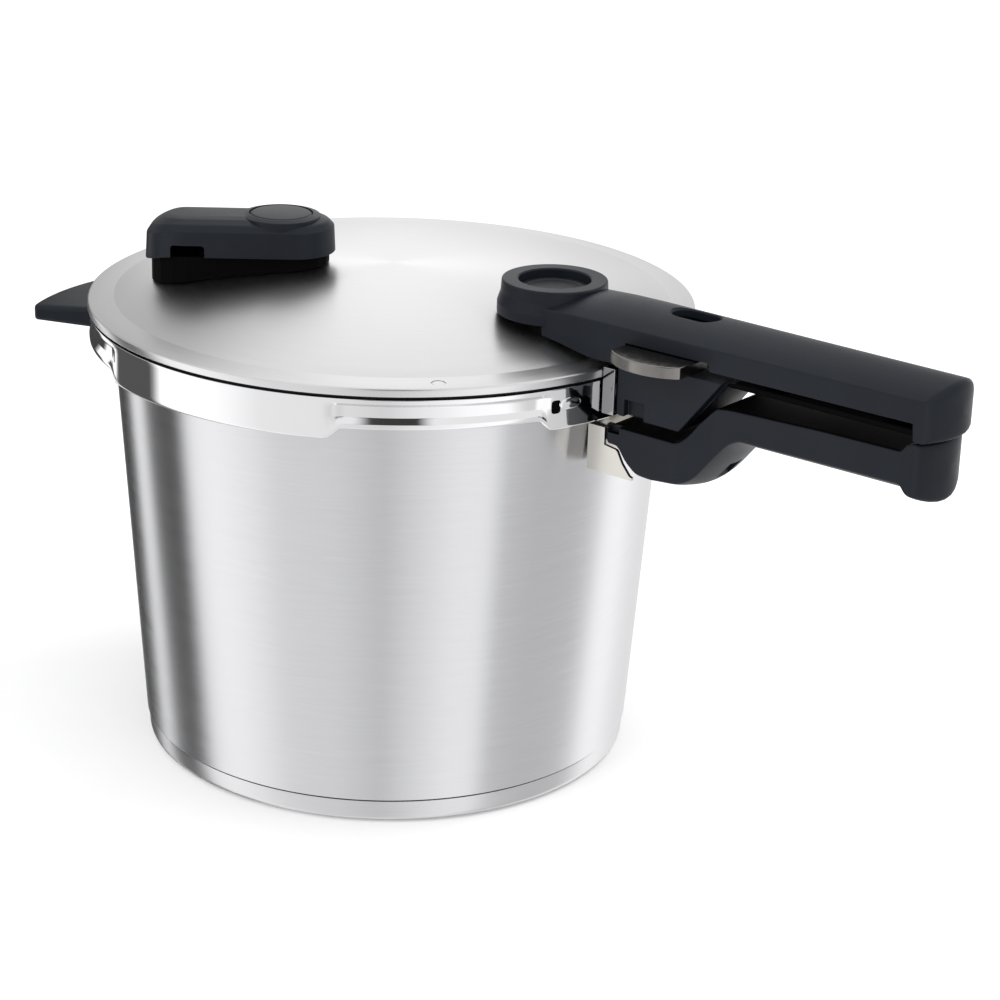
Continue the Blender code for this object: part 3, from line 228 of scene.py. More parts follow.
def brushed(name, roughness, anisotropy, dark, light, along=60.0, across=2200.0, depth=0.006 * MM):
    """Steel brushed round the Z axis."""
    look = Look(name, (0.60, 0.60, 0.61), 1.0, roughness,
                Anisotropic=anisotropy, Anisotropic_Rotation=0.25)
    tangent = look.node("ShaderNodeTangent", direction_type="RADIAL", axis="Z")
    look.links.new(tangent.outputs[0], look.shader.inputs["Tangent"])
    line = look.noise(look.rings(along, across), detail=3.0, rough=0.6)
    broad = look.noise(look.rings(along * 0.25, across * 0.12), detail=2.0)
    both = look.math("ADD", look.math("MULTIPLY", line, 0.7), look.math("MULTIPLY", broad, 0.3))
    look.tint(both, dark, light)
    look.roughness(both, roughness - 0.03, roughness + 0.04)
    look.bump(line, 0.2, depth)
    return look.material


def polished(name, colour=(0.80, 0.80, 0.81), roughness=0.05):
    look = Look(name, colour, 1.0, roughness)
    haze = look.noise(look.stretched((60.0, 60.0, 60.0)), detail=3.0)
    look.roughness(haze, roughness - 0.02, roughness + 0.04)
    wave = look.noise(look.stretched((25.0, 25.0, 60.0)), detail=1.0)
    look.bump(wave, 0.12, 0.10 * MM)
    return look.material


def satin(name, dark, light, roughness, grain=900.0, depth=0.02 * MM):
    """Machined or drawn metal with a fine even grain."""
    look = Look(name, light, 1.0, roughness)
    fine = look.noise(look.stretched((grain, grain, grain * 0.3)), detail=2.0)
    look.tint(fine, dark, light)
    look.roughness(fine, roughness - 0.04, roughness + 0.05)
    look.bump(fine, 0.15, depth)
    return look.material


def moulded(name, dark, light, roughness, grain=1500.0, depth=0.06 * MM, specular=0.20):
    """Moulded plastic or rubber: spark-eroded grain, slight cloudiness and paler worn ridges."""
    look = Look(name, dark, 0.0, roughness, Specular_IOR_Level=specular)
    fine = look.noise(look.stretched((grain, grain, grain)), detail=3.0, rough=0.6)
    cloud = look.noise(look.stretched((45.0, 45.0, 45.0)), detail=2.0)
    edge = look.node("ShaderNodeNewGeometry").outputs["Pointiness"]
    patches = look.math("MULTIPLY", cloud, 0.35)
    ridges = look.math("MULTIPLY", edge, 0.65)
    worn = look.spread(look.math("ADD", patches, ridges), 0.0, 1.0)
    look.tint(worn, dark, light)
    uneven = look.math("ADD", look.math("MULTIPLY", fine, 0.6), look.math("MULTIPLY", cloud, 0.4))
    look.roughness(uneven, roughness - 0.07, roughness + 0.08)
    look.bump(fine, 0.5, depth)
    return look.material


WALL_STEEL = brushed("wall_brushed_steel", 0.24, 0.93, (0.60, 0.60, 0.615), (0.70, 0.70, 0.715),
                     depth=0.003 * MM)
LID_STEEL = brushed("lid_brushed_steel", 0.32, 0.62, (0.66, 0.655, 0.66), (0.76, 0.755, 0.76), across=3600.0)
BASE_STEEL = brushed("base_brushed_steel", 0.30, 0.60, (0.58, 0.58, 0.59), (0.70, 0.70, 0.71), along=90.0)
MIRROR = polished("polished_steel_skirt")
# Darkened steel colour paints the shade and dark reflections that the lid's rim bracket sits in.
RIM_BRACKET_SHADED_STEEL = polished("rim_bracket_painted_shade_steel", (0.34, 0.34, 0.35), 0.08)
BRACKET_STEEL = polished("bracket_polished_steel", (0.62, 0.60, 0.56), 0.16)
GUNMETAL = satin("gunmetal_satin", (0.20, 0.19, 0.18), (0.24, 0.23, 0.22), 0.20,
                 grain=500.0, depth=0.003 * MM)
FITTING = satin("fitting_turned_steel", (0.48, 0.48, 0.49), (0.62, 0.62, 0.63), 0.30)
FASTENER = satin("fastener_zinc", (0.42, 0.42, 0.43), (0.58, 0.58, 0.58), 0.38)
CORE = satin("core_cast_aluminium", (0.52, 0.53, 0.54), (0.68, 0.69, 0.70), 0.48, grain=300.0)
PLASTIC = moulded("handle_black_plastic", (0.003, 0.0045, 0.0075), (0.010, 0.013, 0.019), 0.42)
# Painted shade: near-black, low-specular plastic put on places that are only in shadow (housing base, grip
# top, far strip of the grip block, hole in the skirt).
PAINTED_SHADE_PLASTIC = moulded("painted_shade_plastic", (0.001, 0.001, 0.001), (0.003, 0.0025, 0.0025), 0.60,
                        specular=0.03)
CAP_PLASTIC = moulded("cap_ribbed_plastic", (0.006, 0.007, 0.009), (0.014, 0.016, 0.020), 0.42, grain=2600.0)
RUBBER = moulded("seal_grey_silicone", (0.30, 0.31, 0.32), (0.44, 0.45, 0.46), 0.62, grain=700.0)
GREEN = moulded("flag_green_plastic", (0.02, 0.26, 0.06), (0.06, 0.42, 0.12), 0.40, grain=900.0)


# Mesh building ------------------------------------------------------------------------------------
def filleted(corners, closed=True, steps=5):
    """Path through (x, y, radius) corners, each with a radius rounded off by the same number of points."""
    path = []
    count = len(corners)
    for i, (x, y, radius) in enumerate(corners):
        point = Vector((x, y))
        if radius <= 0.0 or (not closed and i in (0, count - 1)):
            path.append((x, y))
            continue
        before = Vector(corners[i - 1][:2]) - point
        after = Vector(corners[(i + 1) % count][:2]) - point
        half = before.angle(after) / 2.0
        reach = min(radius / math.tan(half), 0.48 * before.length, 0.48 * after.length)
        start = point + before.normalized() * reach
        end = point + after.normalized() * reach
        for k in range(steps + 1):
            t = k / steps
            spot = start * (1.0 - t) ** 2 + point * (2.0 * t * (1.0 - t)) + end * t * t
            path.append((spot.x, spot.y))
    return path


def finish_mesh(work, name, angle=32.0):
    bmesh.ops.remove_doubles(work, verts=work.verts, dist=MERGE)
    bmesh.ops.recalc_face_normals(work, faces=work.faces)
    mesh = bpy.data.meshes.new(name)
    work.to_mesh(mesh)
    work.free()
    mesh.shade_smooth()
    mesh.set_sharp_from_angle(angle=math.radians(angle))
    return mesh


def spun(name, section, steps=192, angle=32.0):
    """Closed skin about Z: section(degrees) gives (radius, height) points, from axis to axis or as a loop."""
    work = bmesh.new()
    rows = []
    for i in range(steps):
        turn = math.tau * i / steps
        points = section(math.degrees(turn))
        rows.append([work.verts.new((r * math.cos(turn), r * math.sin(turn), z)) for r, z in points])
    count = len(rows[0])
    spans = count if points[0][0] > MERGE else count - 1
    for i, row in enumerate(rows):
        following = rows[(i + 1) % steps]
        for j in range(spans):
            k = (j + 1) % count
            work.faces.new((row[j], row[k], following[k], following[j]))
    return finish_mesh(work, name, angle)


def lofted(name, rings, angle=32.0):
    """Closed skin over rings of equally many points, with flat end caps."""
    work = bmesh.new()
    rows = [[work.verts.new(point) for point in ring] for ring in rings]
    count = len(rows[0])
    for first, second in zip(rows, rows[1:]):
        for i in range(count):
            j = (i + 1) % count
            work.faces.new((first[i], first[j], second[j], second[i]))
    work.faces.new(rows[0])
    work.faces.new(rows[-1])
    return finish_mesh(work, name, angle)


def slab(name, outline, low, high, upright=False, bevel=0.0):
    """Flat outline given thickness along Z from (x, y) points, or along Y from (x, z) points."""
    if upright:
        rings = [[(x, y, z) for x, z in outline] for y in (low, high)]
    else:
        rings = [[(x, y, z) for x, y in outline] for z in (low, high)]
    mesh = lofted(name, rings)
    return bevelled(mesh, bevel) if bevel else mesh


def rectangle(left, low, right, high):
    return [(left, low), (right, low), (right, high), (left, high)]


def round_tool(name, radius, low=TOOL_FOOT, high=TOOL_TOP, steps=32):
    """Upright cylinder about Z, to cut with."""
    return spun(name, lambda angle: [(0.0, high), (radius, high), (radius, low), (0.0, low)], steps=steps)


def evaluated(name, mesh, add_modifiers):
    """Mesh after the modifiers that add_modifiers puts on a passing object."""
    item = bpy.data.objects.new(name + "_work", mesh)
    bpy.context.scene.collection.objects.link(item)
    add_modifiers(item)
    bpy.context.view_layer.update()
    graph = bpy.context.evaluated_depsgraph_get()
    result = bpy.data.meshes.new_from_object(item.evaluated_get(graph))
    result.name = name
    bpy.data.objects.remove(item, do_unlink=True)
    return result


def combined(mesh, other, operation="DIFFERENCE", angle=32.0):
    """Boolean of two meshes."""
    tool = bpy.data.objects.new("tool", other)
    bpy.context.scene.collection.objects.link(tool)

    def modify(item):
        cut = item.modifiers.new("cut", "BOOLEAN")
        cut.operation = operation
        cut.object = tool
        cut.solver = "EXACT"

    result = evaluated(mesh.name, mesh, modify)
    bpy.data.objects.remove(tool, do_unlink=True)
    result.shade_smooth()
    result.set_sharp_from_angle(angle=math.radians(angle))
    return result


def bevelled(mesh, width, segments=3, angle=40.0):
    def modify(item):
        bevel = item.modifiers.new("bevel", "BEVEL")
        bevel.width = width
        bevel.segments = segments
        bevel.limit_method = "ANGLE"
        bevel.angle_limit = math.radians(angle)
        bevel.harden_normals = True

    return evaluated(mesh.name, mesh, modify)


def turned(mesh, angle, height=0.0):
    """Mesh that was made at -Y, turned to an angle about Z and raised."""
    mesh.transform(Matrix.Rotation(math.radians(angle) + math.pi / 2.0, 4, "Z")
                   @ Matrix.Translation((0.0, 0.0, height)))
    return mesh


def moved(mesh, offset, heading=0.0):
    mesh.transform(Matrix.Translation(offset) @ Matrix.Rotation(math.radians(heading), 4, "Z"))
    return mesh


def refined(node, width):
    """The CAD node's own solid with its edges broken by a small bevel."""
    work = bmesh.new()
    work.from_mesh(NODES[node].data)
    bmesh.ops.remove_doubles(work, verts=work.verts, dist=MERGE)
    bmesh.ops.dissolve_limit(work, angle_limit=math.radians(2.0), verts=work.verts, edges=work.edges)
    mesh = finish_mesh(work, node + "_fine")
    return bevelled(mesh, width) if width else mesh


def piece(name, mesh, materials, body, slot, *nodes):
    """A shown piece that rides on a body and stands for its CAD nodes."""
    mesh.materials.clear()
    for material in materials if isinstance(materials, tuple) else (materials,):
        mesh.materials.append(material)
    item = bpy.data.objects.new(name, mesh)
    bpy.context.scene.collection.objects.link(item)
    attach(item, body)
    if nodes:
        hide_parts(*nodes)
    return item


def crisp_normals(item):
    weighted = item.modifiers.new("normals", "WEIGHTED_NORMAL")
    weighted.keep_sharp = True
    return item


# Shared shapes ------------------------------------------------------------------------------------
def dome_height(radius):
    return LID_TOP - DOME_DROP * (radius / DOME_RADIUS) ** 2


def handle_half(x):
    share = (x - HEAD_X) / (HANDLE_END - HEAD_X)
    return HALF_ROOT + (HALF_END - HALF_ROOT) * share


def smooth_share(distance, full, blend):
    share = min(max((full + blend - distance) / blend, 0.0), 1.0)
    return share * share * (3.0 - 2.0 * share)


def away_from(angle, centre):
    pitch = 360.0 / HOOK_COUNT
    return abs((angle - centre + pitch / 2.0) % pitch - pitch / 2.0)


def end_inset(x, end, radius):
    """How far a section is drawn in at x, so that a swept bar ends in a rounded edge."""
    left = end - x
    if left >= radius:
        return 0.0
    return radius - math.sqrt(max(radius * radius - (radius - left) ** 2, 0.0))


def bowed(ring, place, end, half):
    """Section bent in plan so that the handle's end face bulges out."""
    share = 1.0 - smooth_share(end - place, 0.0, 14.0 * MM)
    bend = END_BULGE * (1.0 - share)
    return [(x - bend * min(abs(y) / half, 1.0) ** 2, y, z) for x, y, z in ring]


def closing_rings(ring, end, half):
    """Rings that fill a bulging end face from its edge to its middle."""
    low = min(point[2] for point in ring)
    high = max(point[2] for point in ring)
    middle = (low + high) / 2.0
    rings = []
    for share in (0.15, 0.35, 0.6, 0.85, 0.97):
        across = [y * (1.0 - share) for _, y, _ in ring]
        rings.append([(end - END_BULGE * (aside / half) ** 2, aside, z + (middle - z) * share)
                      for aside, (_, _, z) in zip(across, ring)])
    return rings


def stations(first, last, step, *extra):
    """Even places from first to last, with the extra ones among them."""
    places = set(np.round(np.linspace(first, last, max(int((last - first) / step), 2) + 1), 6))
    return sorted(places | set(np.round(extra, 6)))


# Pot ----------------------------------------------------------------------------------------------
def pot_section(angle):
    gap = smooth_share(away_from(angle, HOOK_CENTRE + TURN_ANGLE), HOOK_HALF + HOOK_BLEND, 2.0)
    flange = LOBE_RADIUS + (NECK_RADIUS - LOBE_RADIUS) * gap
    foot = LOBE_BOTTOM + (FLANGE_BOTTOM - LOBE_BOTTOM) * gap
    inner_top = WALL_TOP_RADIUS - SHEET
    floor = WALL_FOOT + SHEET
    corners = [
        (0.0, floor, 0.0),
        (40.0 * MM, floor, 0.0),
        (WALL_FOOT_RADIUS - SHEET, floor, 6.0 * MM),
        (inner_top, FLANGE_BOTTOM - 1.0 * MM, 0.0),
        (inner_top + 0.5 * MM, RIM_HEIGHT, 0.6 * MM),
        (flange, RIM_HEIGHT, 0.8 * MM),
        (flange, foot, 0.3 * MM),
        (flange - 0.9 * SHEET, foot, 0.3 * MM),
        (flange - 0.9 * SHEET, FLANGE_BOTTOM - 0.05 * MM, 0.3 * MM),
        (WALL_TOP_RADIUS, FLANGE_BOTTOM - 0.1 * MM, 0.2 * MM),
        (WALL_TOP_RADIUS - 0.05 * MM, FLANGE_BOTTOM - 2.0 * MM, 0.0),
        (WALL_FOOT_RADIUS, WALL_FOOT + 0.4 * MM, 0.4 * MM),
        (WALL_FOOT_RADIUS - 1.2 * MM, WALL_FOOT, 0.3 * MM),
        (0.0, WALL_FOOT, 0.0),
    ]
    return filleted(corners, closed=False, steps=6)


def base_section(angle):
    core = BASE_RADIUS - 2.9 * MM + 0.3 * MM
    corners = [
        (0.0, SHEET, 0.0),
        (core - 1.0 * MM, SHEET, 0.0),
        (core, SHEET + 1.0 * MM, 0.0),
        (core, BASE_HEIGHT, 0.0),
        (BASE_RADIUS, BASE_HEIGHT, 0.3 * MM),
        (BASE_RADIUS, 1.6 * MM, 2.6 * MM),
        (BASE_RADIUS - 3.6 * MM, 0.0, 2.0 * MM),
        (60.0 * MM, 0.0, 0.0),
        (0.0, 0.0, 0.0),
    ]
    return filleted(corners, closed=False, steps=6)


def centre_brushing(mesh, height):
    """Puts the centre that a radial tangent turns about on the Z axis."""
    mesh.use_auto_texspace = False
    mesh.texspace_location = (0.0, 0.0, height / 2.0)


def build_pot():
    pot = spun("pot_wall", pot_section, steps=288)
    centre_brushing(pot, RIM_HEIGHT)
    piece("pot_wall", pot, WALL_STEEL, "pot", "brushed_steel", "pot_body")
    base = spun("capsule_base", base_section, steps=240)
    piece("capsule_base", base, BASE_STEEL, "pot", "brushed_steel", "base_cap")


# Pot handle ---------------------------------------------------------------------------------------
def keel_section(x, half, low, crease, top):
    corners = [(-half, top, 1.2 * MM), (-half, crease, 1.6 * MM)]
    for share in (-0.85, -0.7, -0.5, -0.25, 0.0, 0.25, 0.5, 0.7, 0.85):
        corners.append((half * share, crease + (low - crease) * (1.0 - share * share), 0.0))
    corners += [(half, crease, 1.6 * MM), (half, top, 1.2 * MM)]
    corners += [(half * share, top, 0.0) for share in (0.85, 0.6, 0.3, 0.0, -0.3, -0.6, -0.85)]
    return [(x, y, z) for y, z in filleted(corners)]


POT_HANDLE_LINE = np.array([
    # x, lower middle, crease, top, in millimetres
    (122.8, 157.6, 158.2, 164.4),
    (125.0, 157.2, 158.0, 165.4),
    (129.0, 155.4, 158.0, 165.6),
    (131.6, 150.4, 153.4, 165.6),
    (137.3, 146.4, 148.8, 165.6),
    (144.0, 145.8, 148.4, 165.6),
    (156.0, 146.2, 149.6, 165.6),
    (160.5, 147.4, 151.6, 169.6),
    (163.5, 149.6, 154.0, 174.0),
    (171.0, 158.2, 163.6, 182.4),
    (176.0, 164.2, 169.4, 183.2),
    (181.0, 167.4, 172.2, 183.4),
    (215.0, 167.4, 172.4, 184.4),
    (249.0, 167.4, 172.4, 184.6),
    (253.0, 165.2, 169.4, 187.8),
    (256.0, 164.6, 168.6, 188.0),
    (262.0, 164.6, 168.6, 188.0),
]) * MM


def smoothed(x, table, column, reach=1.6 * MM):
    """Value of a column at x, averaged over a short stretch so that its corners are rounded."""
    spots = np.linspace(x - reach, x + reach, 9)
    return float(np.interp(spots, table[:, 0], table[:, column]).mean())


def keel_half(x):
    """Half width of the pot handle: even at its root, then tapering like the lid handle."""
    if x > TAPER_MERGE:
        return handle_half(x)
    share = max(0.0, (x - TAPER_START) / (TAPER_MERGE - TAPER_START))
    return HALF_ROOT + (handle_half(TAPER_MERGE) - HALF_ROOT) * share


def build_pot_handle():
    rings = []
    start, end = POT_HANDLE_START, POT_HANDLE_END
    for x in stations(start, end, 1.3 * MM, *np.linspace(end - 2.6 * MM, end, 11)):
        inset = end_inset(x, end, 2.2 * MM) + 0.9 * end_inset(start * 2.0 - x, start, 1.0 * MM)
        half = keel_half(x)
        low, crease, top = (smoothed(x, POT_HANDLE_LINE, c) for c in (1, 2, 3))
        ring = keel_section(x, half - inset, low + inset, crease + inset * 0.8, top - inset)
        rings.append(bowed(ring, x, end, half))
    mesh = lofted("pot_grip", rings + closing_rings(rings[-1], end, half))
    low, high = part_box("pot_handle_screw")
    middle = (low.z + high.z) / 2.0
    bore_half = 2.3 * MM
    bore = rectangle(low.x - 4.0 * MM, middle - bore_half, high.x + 1.0 * MM, middle + bore_half)
    mesh = combined(mesh, slab("bore", bore, -bore_half, bore_half, upright=True))
    notch = rectangle(124.2 * MM, 162.6 * MM, 129.4 * MM, 168.0 * MM)
    mesh = combined(mesh, slab("notch", notch, -22.0 * MM, -16.5 * MM, upright=True))
    hang = rectangle(164.0 * MM, 144.0 * MM, 170.0 * MM, 165.0 * MM)
    mesh = combined(mesh, slab("hang_slot", hang, -4.0 * MM, 4.0 * MM, upright=True))
    crisp_normals(piece("pot_grip", mesh, (PLASTIC, PAINTED_SHADE_PLASTIC), "pot", "black_plastic", "pot_handle"))
    # Painted shade: the grip's upward faces, in shadow under the lid handle, get the near-black plastic.
    for face in mesh.polygons:
        in_painted_shade = face.normal.z > 0.7 and face.center.x < POT_HANDLE_END - 8.0 * MM
        face.material_index = 1 if in_painted_shade else 0


def build_pot_bracket():
    """Flame guard: the CAD's web with a cheek on either side that follows the handle's keel."""
    mesh = refined("pot_handle_bracket", 0.0)
    cheek = filleted([(115.0 * MM, 164.0 * MM, 0.0), (115.3 * MM, 147.0 * MM, 4.0 * MM),
                      (121.0 * MM, 146.1 * MM, 2.0 * MM), (135.0 * MM, 147.2 * MM, 0.0),
                      (131.2 * MM, 151.6 * MM, 1.5 * MM), (128.6 * MM, 156.4 * MM, 2.0 * MM),
                      (122.6 * MM, 157.2 * MM, 0.5 * MM), (122.6 * MM, 164.0 * MM, 0.0)])
    for side in (-1.0, 1.0):
        near, far = sorted((side * 17.6 * MM, side * 19.0 * MM))
        mesh = combined(mesh, slab("cheek", cheek, near, far, upright=True), "UNION")
    piece("pot_flame_guard", bevelled(mesh, 0.3 * MM, segments=2), BRACKET_STEEL, "pot", "brushed_steel",
          "pot_handle_bracket")


# Side handle --------------------------------------------------------------------------------------
SIDE_ROOT = 116.4 * MM
SIDE_TIP = 179.3 * MM
SIDE_CORNER = 166.0 * MM
SIDE_HALF = 45.0 * MM
SIDE_ROOT_HALF = 37.0 * MM
SIDE_TIP_TOP = 155.4 * MM
SIDE_ROOT_TOP = 164.4 * MM
SIDE_TIP_BOTTOM = 148.8 * MM
SIDE_ROOT_BOTTOM = 153.6 * MM
SIDE_ROOT_RADIUS = 113.33 * MM


def side_level(x, root, tip):
    return root + (tip - root) * (x - SIDE_ROOT) / (SIDE_TIP - SIDE_ROOT)


def build_side_handle():
    rings = []
    spots = [math.sin(math.radians(a)) for a in np.linspace(-90.0, 90.0, 61)]
    for share in spots:
        inset = 2.4 * MM * (1.0 - math.sqrt(max(1.0 - max(abs(share) - 0.93, 0.0) ** 2 / 0.07 ** 2, 0.0)))
        y_tip = SIDE_HALF * share
        y_root = SIDE_ROOT_HALF * share
        root = math.sqrt(SIDE_ROOT_RADIUS ** 2 - y_root ** 2)
        tip = SIDE_CORNER + (SIDE_TIP - SIDE_CORNER) * (1.0 - share * share) - inset
        fall = 0.8 * MM * share * share
        corners = [
            (root, side_level(root, SIDE_ROOT_BOTTOM, SIDE_TIP_BOTTOM) + inset, 0.6 * MM),
            (root, side_level(root, SIDE_ROOT_TOP, SIDE_TIP_TOP) - fall - inset, 0.6 * MM),
            (tip, side_level(tip, SIDE_ROOT_TOP, SIDE_TIP_TOP) - fall - inset, 1.2 * MM),
            (tip, side_level(tip, SIDE_ROOT_BOTTOM, SIDE_TIP_BOTTOM) + inset, 1.6 * MM),
        ]
        ring = []
        for x, z in filleted(corners):
            along = (x - root) / (tip - root)
            ring.append((-x, y_root + (y_tip - y_root) * along, z))
        rings.append(ring)
    mesh = lofted("side_grip", rings)
    crisp_normals(piece("side_grip", mesh, PLASTIC, "pot", "black_plastic", "side_handle"))
    bracket = refined("side_handle_bracket", 0.4 * MM)
    piece("side_grip_bracket", bracket, BRACKET_STEEL, "pot", "brushed_steel", "side_handle_bracket")


# Lid ----------------------------------------------------------------------------------------------
def lid_section(angle):
    share = smooth_share(away_from(angle, HOOK_CENTRE), HOOK_HALF, HOOK_BLEND)
    foot = CURL_RADIUS + (HOOK_RADIUS - CURL_RADIUS) * share
    bottom = SKIRT_BOTTOM + (HOOK_BOTTOM - SKIRT_BOTTOM) * share
    dent = SKIRT_RADIUS - DENT * share
    inner = CURL_RADIUS
    edge = dome_height(DOME_RADIUS)
    corners = [(radius * MM, dome_height(radius * MM), 0.0) for radius in np.linspace(0.0, 108.0, 28)]
    corners += [
        (DOME_RADIUS - 1.5 * MM, edge + 0.1 * MM, 1.5 * MM),
        (DOME_RADIUS + 3.0 * MM, edge - 0.3 * MM, 1.0 * MM),
        (LID_RADIUS, edge - 0.9 * MM, 1.0 * MM),
        (LID_RADIUS, RIM_LIP, 0.4 * MM),
        (GROOVE_RADIUS, RIM_LIP, 0.0),
        (GROOVE_RADIUS, GROOVE_LOW, 0.0),
        (SKIRT_RADIUS, GROOVE_LOW, 0.4 * MM),
        (SKIRT_RADIUS, 180.4 * MM, 0.3 * MM),
        (dent, 179.0 * MM, 1.2 * MM),
        (dent, 174.8 * MM, 1.2 * MM),
        (SKIRT_RADIUS, bottom + 2.2 * MM, 0.8 * MM),
        (SKIRT_RADIUS, bottom, 1.2 * MM),
        (foot, bottom, 0.3 * MM),
        (foot, bottom + SHEET, 0.0),
        (inner, bottom + SHEET, 0.0),
        (inner, edge - 3.4 * MM, 0.0),
        (DOME_RADIUS + 0.2 * MM, edge - SHEET, 0.0),
    ]
    corners += [(radius * MM, dome_height(radius * MM) - SHEET, 0.0)
                for radius in np.linspace(108.0, 0.0, 10)]
    return filleted(corners, closed=False, steps=5)


def build_tab():
    """Low pressed pad on the skirt, and a near-black plate behind the hole beside it that paints the shade in
    the hole.
    """
    rings = []
    for share in (0.0, 0.35, 0.6, 0.8, 0.92, 1.0):
        level = 0.7 * MM * math.sqrt(1.0 - share * share)
        ring = []
        for k in range(32):
            turn = math.tau * k / 32
            reach = max(share, 0.02)
            ring.append((5.0 * MM * reach * math.cos(turn), -SKIRT_RADIUS - level,
                         2.3 * MM * reach * math.sin(turn)))
        rings.append(ring)
    back = [(x, -SKIRT_RADIUS + 0.6 * MM, z) for x, _, z in rings[-1]]
    pad = turned(lofted("skirt_pad", rings + [back], angle=60.0), PAD_ANGLE, PAD_HEIGHT)
    piece("skirt_pad", pad, MIRROR, "lid", "polished_steel")
    # Painted shade: a thin near-black plate inside the hole stands for the shadow in it.
    outline = rectangle(-3.2 * MM, 171.4 * MM, 2.8 * MM, 178.8 * MM)
    hole_shade_plate = turned(slab("skirt_hole_shade", outline, -120.7 * MM, -120.2 * MM, upright=True), HOLE_ANGLE)
    piece("skirt_hole_shade", hole_shade_plate, PAINTED_SHADE_PLASTIC, "lid", "black_plastic")


def float_place():
    heading = math.radians(STEAM_HEADING)
    return (STEAM_X + FLOAT_AT * math.cos(heading), STEAM_Y + FLOAT_AT * math.sin(heading))


def build_lid():
    mesh = spun("lid_sheet", lid_section, steps=360, angle=LID_CREASE)
    for x, y in ((HEAD_X, 0.0), (STEAM_X, STEAM_Y), float_place()):
        hole = moved(round_tool("hole", BORE_RADIUS), (x, y, 0.0))
        mesh = combined(mesh, hole, angle=LID_CREASE)
    turn = math.radians(MARK_ANGLE)
    mark_ring = rectangle(2.2 * MM, 186.0 * MM, 2.9 * MM, 190.0 * MM)
    mark = spun("mark", lambda angle: mark_ring, steps=40)
    mark = moved(mark, (MARK_AT * math.cos(turn), MARK_AT * math.sin(turn), 0.95 * MM))
    mesh = combined(mesh, mark, angle=LID_CREASE)
    outline = filleted([(x, z, 1.4 * MM) for x, z in rectangle(-2.2 * MM, -2.6 * MM, 1.8 * MM, 2.6 * MM)])
    peg = slab("tab_hole", outline, -125.0 * MM, -120.0 * MM, upright=True)
    mesh = combined(mesh, turned(peg, HOLE_ANGLE, HOLE_HEIGHT), angle=LID_CREASE)
    centre_brushing(mesh, LID_TOP)
    piece("lid_sheet", mesh, (LID_STEEL, MIRROR, PLASTIC), "lid", "brushed_steel", "lid_shell")
    for face in mesh.polygons:
        radius = math.hypot(face.center.x, face.center.y)
        at_groove = GROOVE_LOW - 0.05 * MM < face.center.z < RIM_LIP + 0.05 * MM
        # Painted shade: the steel groove faces get black plastic to stand for the dark line seen in them.
        if at_groove and CURL_RADIUS + 0.2 * MM < radius < LID_RADIUS - 0.7 * MM:
            face.material_index = 2
        elif radius > DOME_RADIUS and face.center.z < RIM_LIP - 0.2 * MM:
            face.material_index = 1
        else:
            face.material_index = 0


# Lid handle ---------------------------------------------------------------------------------------
def crown_section(x, half, low, crease, top, fillet=0.9 * MM):
    corners = [(-half, low, 0.35 * MM), (-half, crease, fillet)]
    for share in (-0.88, -0.75, -0.6, -0.4, -0.2, 0.0, 0.2, 0.4, 0.6, 0.75, 0.88):
        corners.append((half * share, crease + (top - crease) * (1.0 - share * share), 0.0))
    corners += [(half, crease, fillet), (half, low, 0.35 * MM)]
    corners += [(half * share, low, 0.0) for share in (0.85, 0.6, 0.3, 0.0, -0.3, -0.6, -0.85)]
    return [(x, y, z) for y, z in filleted(corners)]


HANDLE_LINE = np.array([
    # x, lower edge, crease, top, in millimetres
    (88.0, 193.6, 203.4, 207.8),
    (100.0, 191.8, 203.8, 208.6),
    (113.0, 189.3, 204.0, 209.5),
    (125.8, 189.3, 204.0, 209.8),
    (126.3, 195.4, 204.0, 209.8),
    (180.0, 195.4, 204.0, 209.8),
    (253.0, 195.4, 204.0, 209.8),
    (254.2, 189.0, 204.0, 209.8),
    (262.0, 188.6, 204.0, 209.8),
]) * MM


